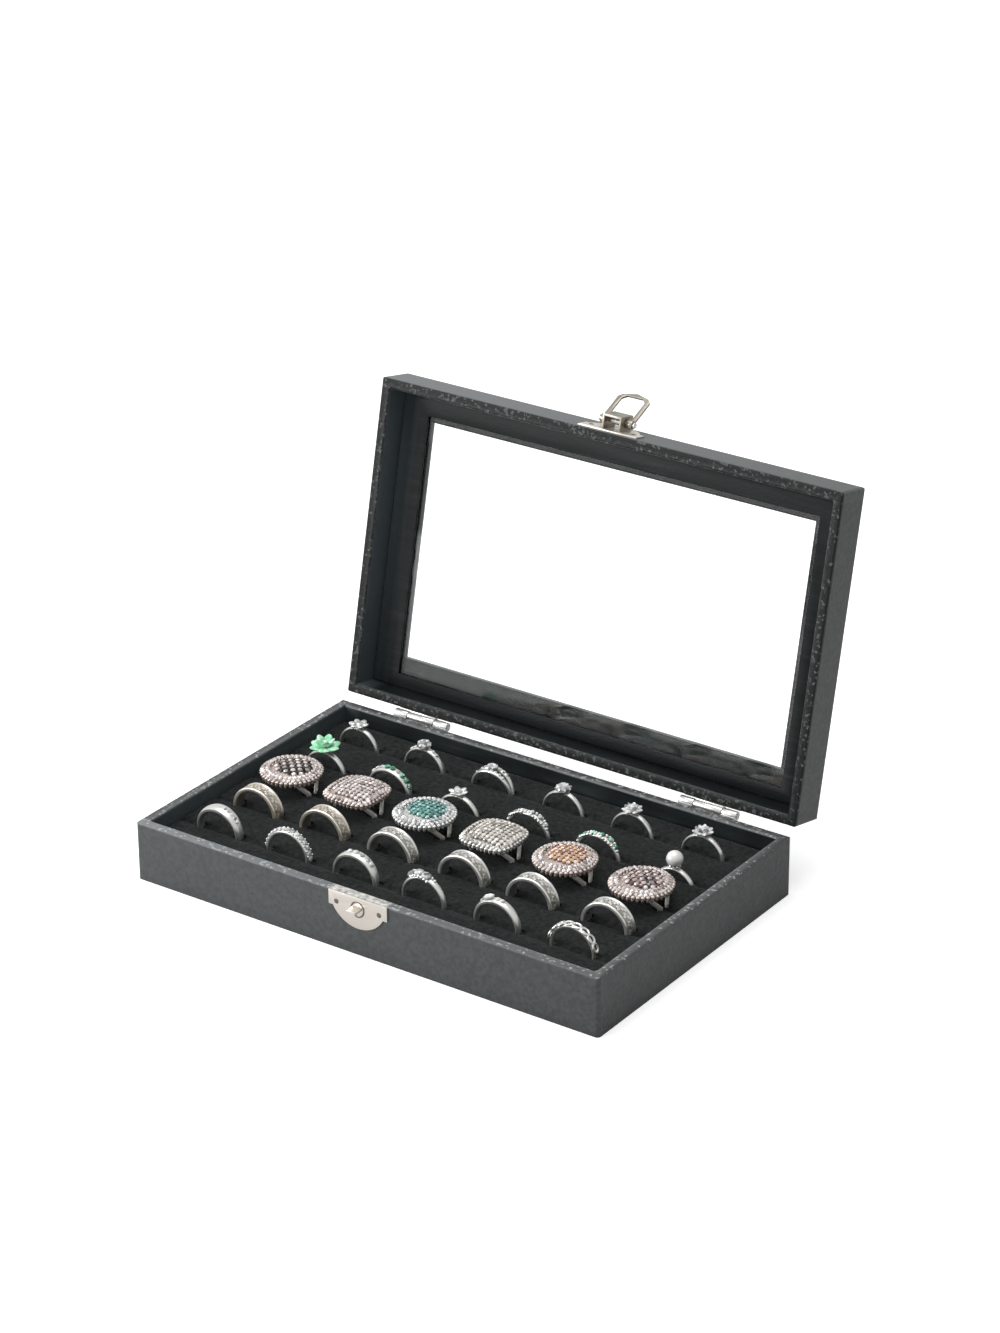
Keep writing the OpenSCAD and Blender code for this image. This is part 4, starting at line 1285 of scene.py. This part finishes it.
for key, stone in (("d4", white_stone), ("d5", green_stone)):
    ring_down(band(key, f"ring_{key}_band", 0.5), key, silver, stands=True)
    beads = on_band(key, range(-62, 63, 8), 1.35 * MM, winding(1.3 * MM))
    beads += on_band(key, range(-62, 63, 8), 1.1 * MM, winding(-1.3 * MM))
    solder(key, "beads", bead_stamp, beads, silver)
    set_stones(key, on_band(key, range(-50, 51, 20), 1.9 * MM, winding(0.6 * MM), 0.4 * MM), stone)

ring_down(band("d6", "ring_d6_band"), "d6", silver, stands=True)
solder("d6", "cup", post_stamp, basket("d6", 2.3 * MM, 10, 0.9 * MM), silver)
PEARL_R = 3.1 * MM
put_down()
bpy.ops.mesh.primitive_uv_sphere_add(
    segments=48,
    ring_count=24,
    radius=PEARL_R,
    location=above("d6", 0.25 * MM + PEARL_R),
)
pearl = name_new("ring_d6_pearl")
select(pearl, "VERT")
bpy.ops.transform.resize(value=(1, 1, 0.96))
ring_down(pearl, "d6", nacre)

# %% [markdown]
# ## Back row
# Six engagement rings: thin bands with one stone on a basket of posts, most with smaller stones
# round it like a star.

# %% Back row
for key in ("e1", "e2", "e4", "e5", "e6"):
    ring_down(band(key, f"ring_{key}_band"), key, silver, stands=True)
swirl = [band("e3", "ring_e3_band", 0.5, spread) for spread in (-1.6 * MM, 1.6 * MM)]
for arm in swirl:
    take(arm)
    bpy.ops.object.transform_apply(location=True, rotation=False, scale=False)
ring_down(join("ring_e3_band", swirl), "e3", silver, stands=True)

# a flower of six petals with a stone on each
solder("e1", "basket", post_stamp, basket("e1", 1.8 * MM), silver)
petals = star("e1", 6, (4.6 * MM, 5.2 * MM, 4.0 * MM), 14, 0.6 * MM, 20)
solder("e1", "petals", petal_stamp, petals, silver, angle=50)
stones = [(where + out * 2.7 * MM, (0, 0, 1), 2.3 * MM) for where, out, size in petals]
stones.append((above("e1", 1.5 * MM), (0, 0, 1), 3.0 * MM))
set_stones("e1", stones, white_stone)

# one stone with four claws and a few small ones on the band
solder("e2", "basket", post_stamp, basket("e2", 2.7 * MM, 4, 1.6 * MM, 1.0 * MM), silver)
stones = [(above("e2", 1.0 * MM), (0, 0, 1), (5.4 * MM, 5.4 * MM, 6.4 * MM))]
stones += on_band("e2", (-38, -26, -14, 14, 26, 38), 1.5 * MM, lift=0.1 * MM)
set_stones("e2", stones, white_stone)

# an oval stone between two arms that swirl round it
solder("e3", "basket", post_stamp, basket("e3", 1.9 * MM, 6, 0.9 * MM, 0.6 * MM), silver)
stones = [(above("e3", 0.9 * MM), (0, 0, 1), (4.6 * MM, 3.2 * MM, 3.2 * MM))]
for side in (-1, 1):
    stones += on_band("e3", range(-40, 41, 11), 1.4 * MM, lambda turn, s=side: s * 1.5 * MM)
set_stones("e3", stones, white_stone)

# a large round stone in a ring of claws
solder("e4", "basket", post_stamp, basket("e4", 3.0 * MM, 8, 1.4 * MM, 0.8 * MM), silver)
stones = [(above("e4", 1.0 * MM), (0, 0, 1), (5.8 * MM, 5.8 * MM, 6.4 * MM))]
set_stones("e4", stones, white_stone, "stone")

# two rings of pointed petals, seven low and five steep, round a stone
for key in ("e5", "e6"):
    solder(key, "basket", post_stamp, basket(key, 2.0 * MM, high=0.6 * MM), silver)
    petals = star(key, 7, (5.0 * MM, 5.0 * MM, 4.2 * MM), 18, 0.3 * MM, 12)
    petals += star(key, 5, (4.4 * MM, 4.4 * MM, 3.4 * MM), 55, 0.4 * MM, 30)
    solder(key, "petals", petal_stamp, petals, white_stone, angle=30)
    set_stones(key, [(above(key, 2.4 * MM), (0, 0, 1), 2.8 * MM)], white_stone, "stone")

# %% [markdown]
# The stamps themselves aren't part of the object, so they are thrown away.

# %% Clear the stamps
for stamp in STAMPS:
    bpy.data.objects.remove(stamp)

# %% [markdown]
# ## Floor, room and lamps
# The box stands on a white table in a white room. A broad lamp above gives the rims their gloss,
# over the light painted in their tints, a second one at the front left models the front, whose
# lighter left end is painted light as well, and the white room fills the rest. The room lights
# softly, but the camera, mirrors and glass see it as plain white. The lamps don't reach the far end
# of the table, so it glows a little more there, and no line shows where it ends. Mirrors see the
# table without its glow.

# %% Floor and room
put_down()
bpy.ops.mesh.primitive_plane_add(size=8, location=(0, 0, 0))
floor = name_new("floor")
white_table, tree = blank("white_table")
diffuse = add(tree, "BsdfDiffuse", {"Color": colour("#f2f2f2")})
place = add(tree, "TexCoord")
away = add(tree, "VectorMath", {"operation": "LENGTH"}, {0: (place, "Object")})
further = {"From Min": 0.5, "From Max": 1.6, "To Min": 0.5, "To Max": 0.75}
brighter = add(tree, "MapRange", further, {"Value": (away, "Value")})
glow = add(tree, "Emission", {"Color": colour("#ffffff")}, {"Strength": (brighter, 0)})
ray = add(tree, "LightPath")
seen = add(
    tree,
    "Math",
    {"operation": "MAXIMUM"},
    {0: (ray, "Is Camera Ray"), 1: (ray, "Is Transmission Ray")},
)
black = add(tree, "Emission", {"Strength": 0.0})
lift_up = add(tree, "MixShader", {}, {0: (seen, 0), 1: (black, 0), 2: (glow, 0)})
table_shader = add(tree, "AddShader", {}, {0: (diffuse, 0), 1: (lift_up, 0)})
add(tree, "OutputMaterial", {}, {"Surface": (table_shader, 0)})
floor.data.materials.append(white_table)

room = bpy.data.worlds.new("white_room")
bpy.context.scene.world = room
room.use_nodes = True
tree = room.node_tree
tree.nodes.clear()
ray = add(tree, "LightPath")
mirrored = add(
    tree,
    "Math",
    {"operation": "MAXIMUM"},
    {0: (ray, "Is Camera Ray"), 1: (ray, "Is Glossy Ray")},
)
seen = add(
    tree, "Math", {"operation": "MAXIMUM"}, {0: (mirrored, 0), 1: (ray, "Is Transmission Ray")}
)
soft = add(tree, "Background", {"Color": colour("#ffffff"), "Strength": 0.4})
plain = add(tree, "Background", {"Color": colour("#ffffff"), "Strength": 1.0})
both = add(tree, "MixShader", {}, {0: (seen, 0), 1: (soft, 0), 2: (plain, 0)})
add(tree, "OutputWorld", {}, {"Surface": (both, 0)})


def softbox(name, place, aim, width, power):
    """A square area lamp that faces a point."""
    data = bpy.data.lights.new(name, "AREA")
    data.size = width
    data.energy = power
    lamp = bpy.data.objects.new(name, data)
    bpy.context.collection.objects.link(lamp)
    lamp.location = place
    lamp.rotation_euler = (Vector(aim) - Vector(place)).to_track_quat("-Z", "Y").to_euler()


softbox("top_softbox", (-0.1, 0.1, 1.3), (0, 0, 0), 1.0, 11)
softbox("front_softbox", (-1.2, -1.1, 0.62), (-0.05, 0, 0.03), 0.9, 26)
bpy.context.scene.view_settings.view_transform = "Standard"
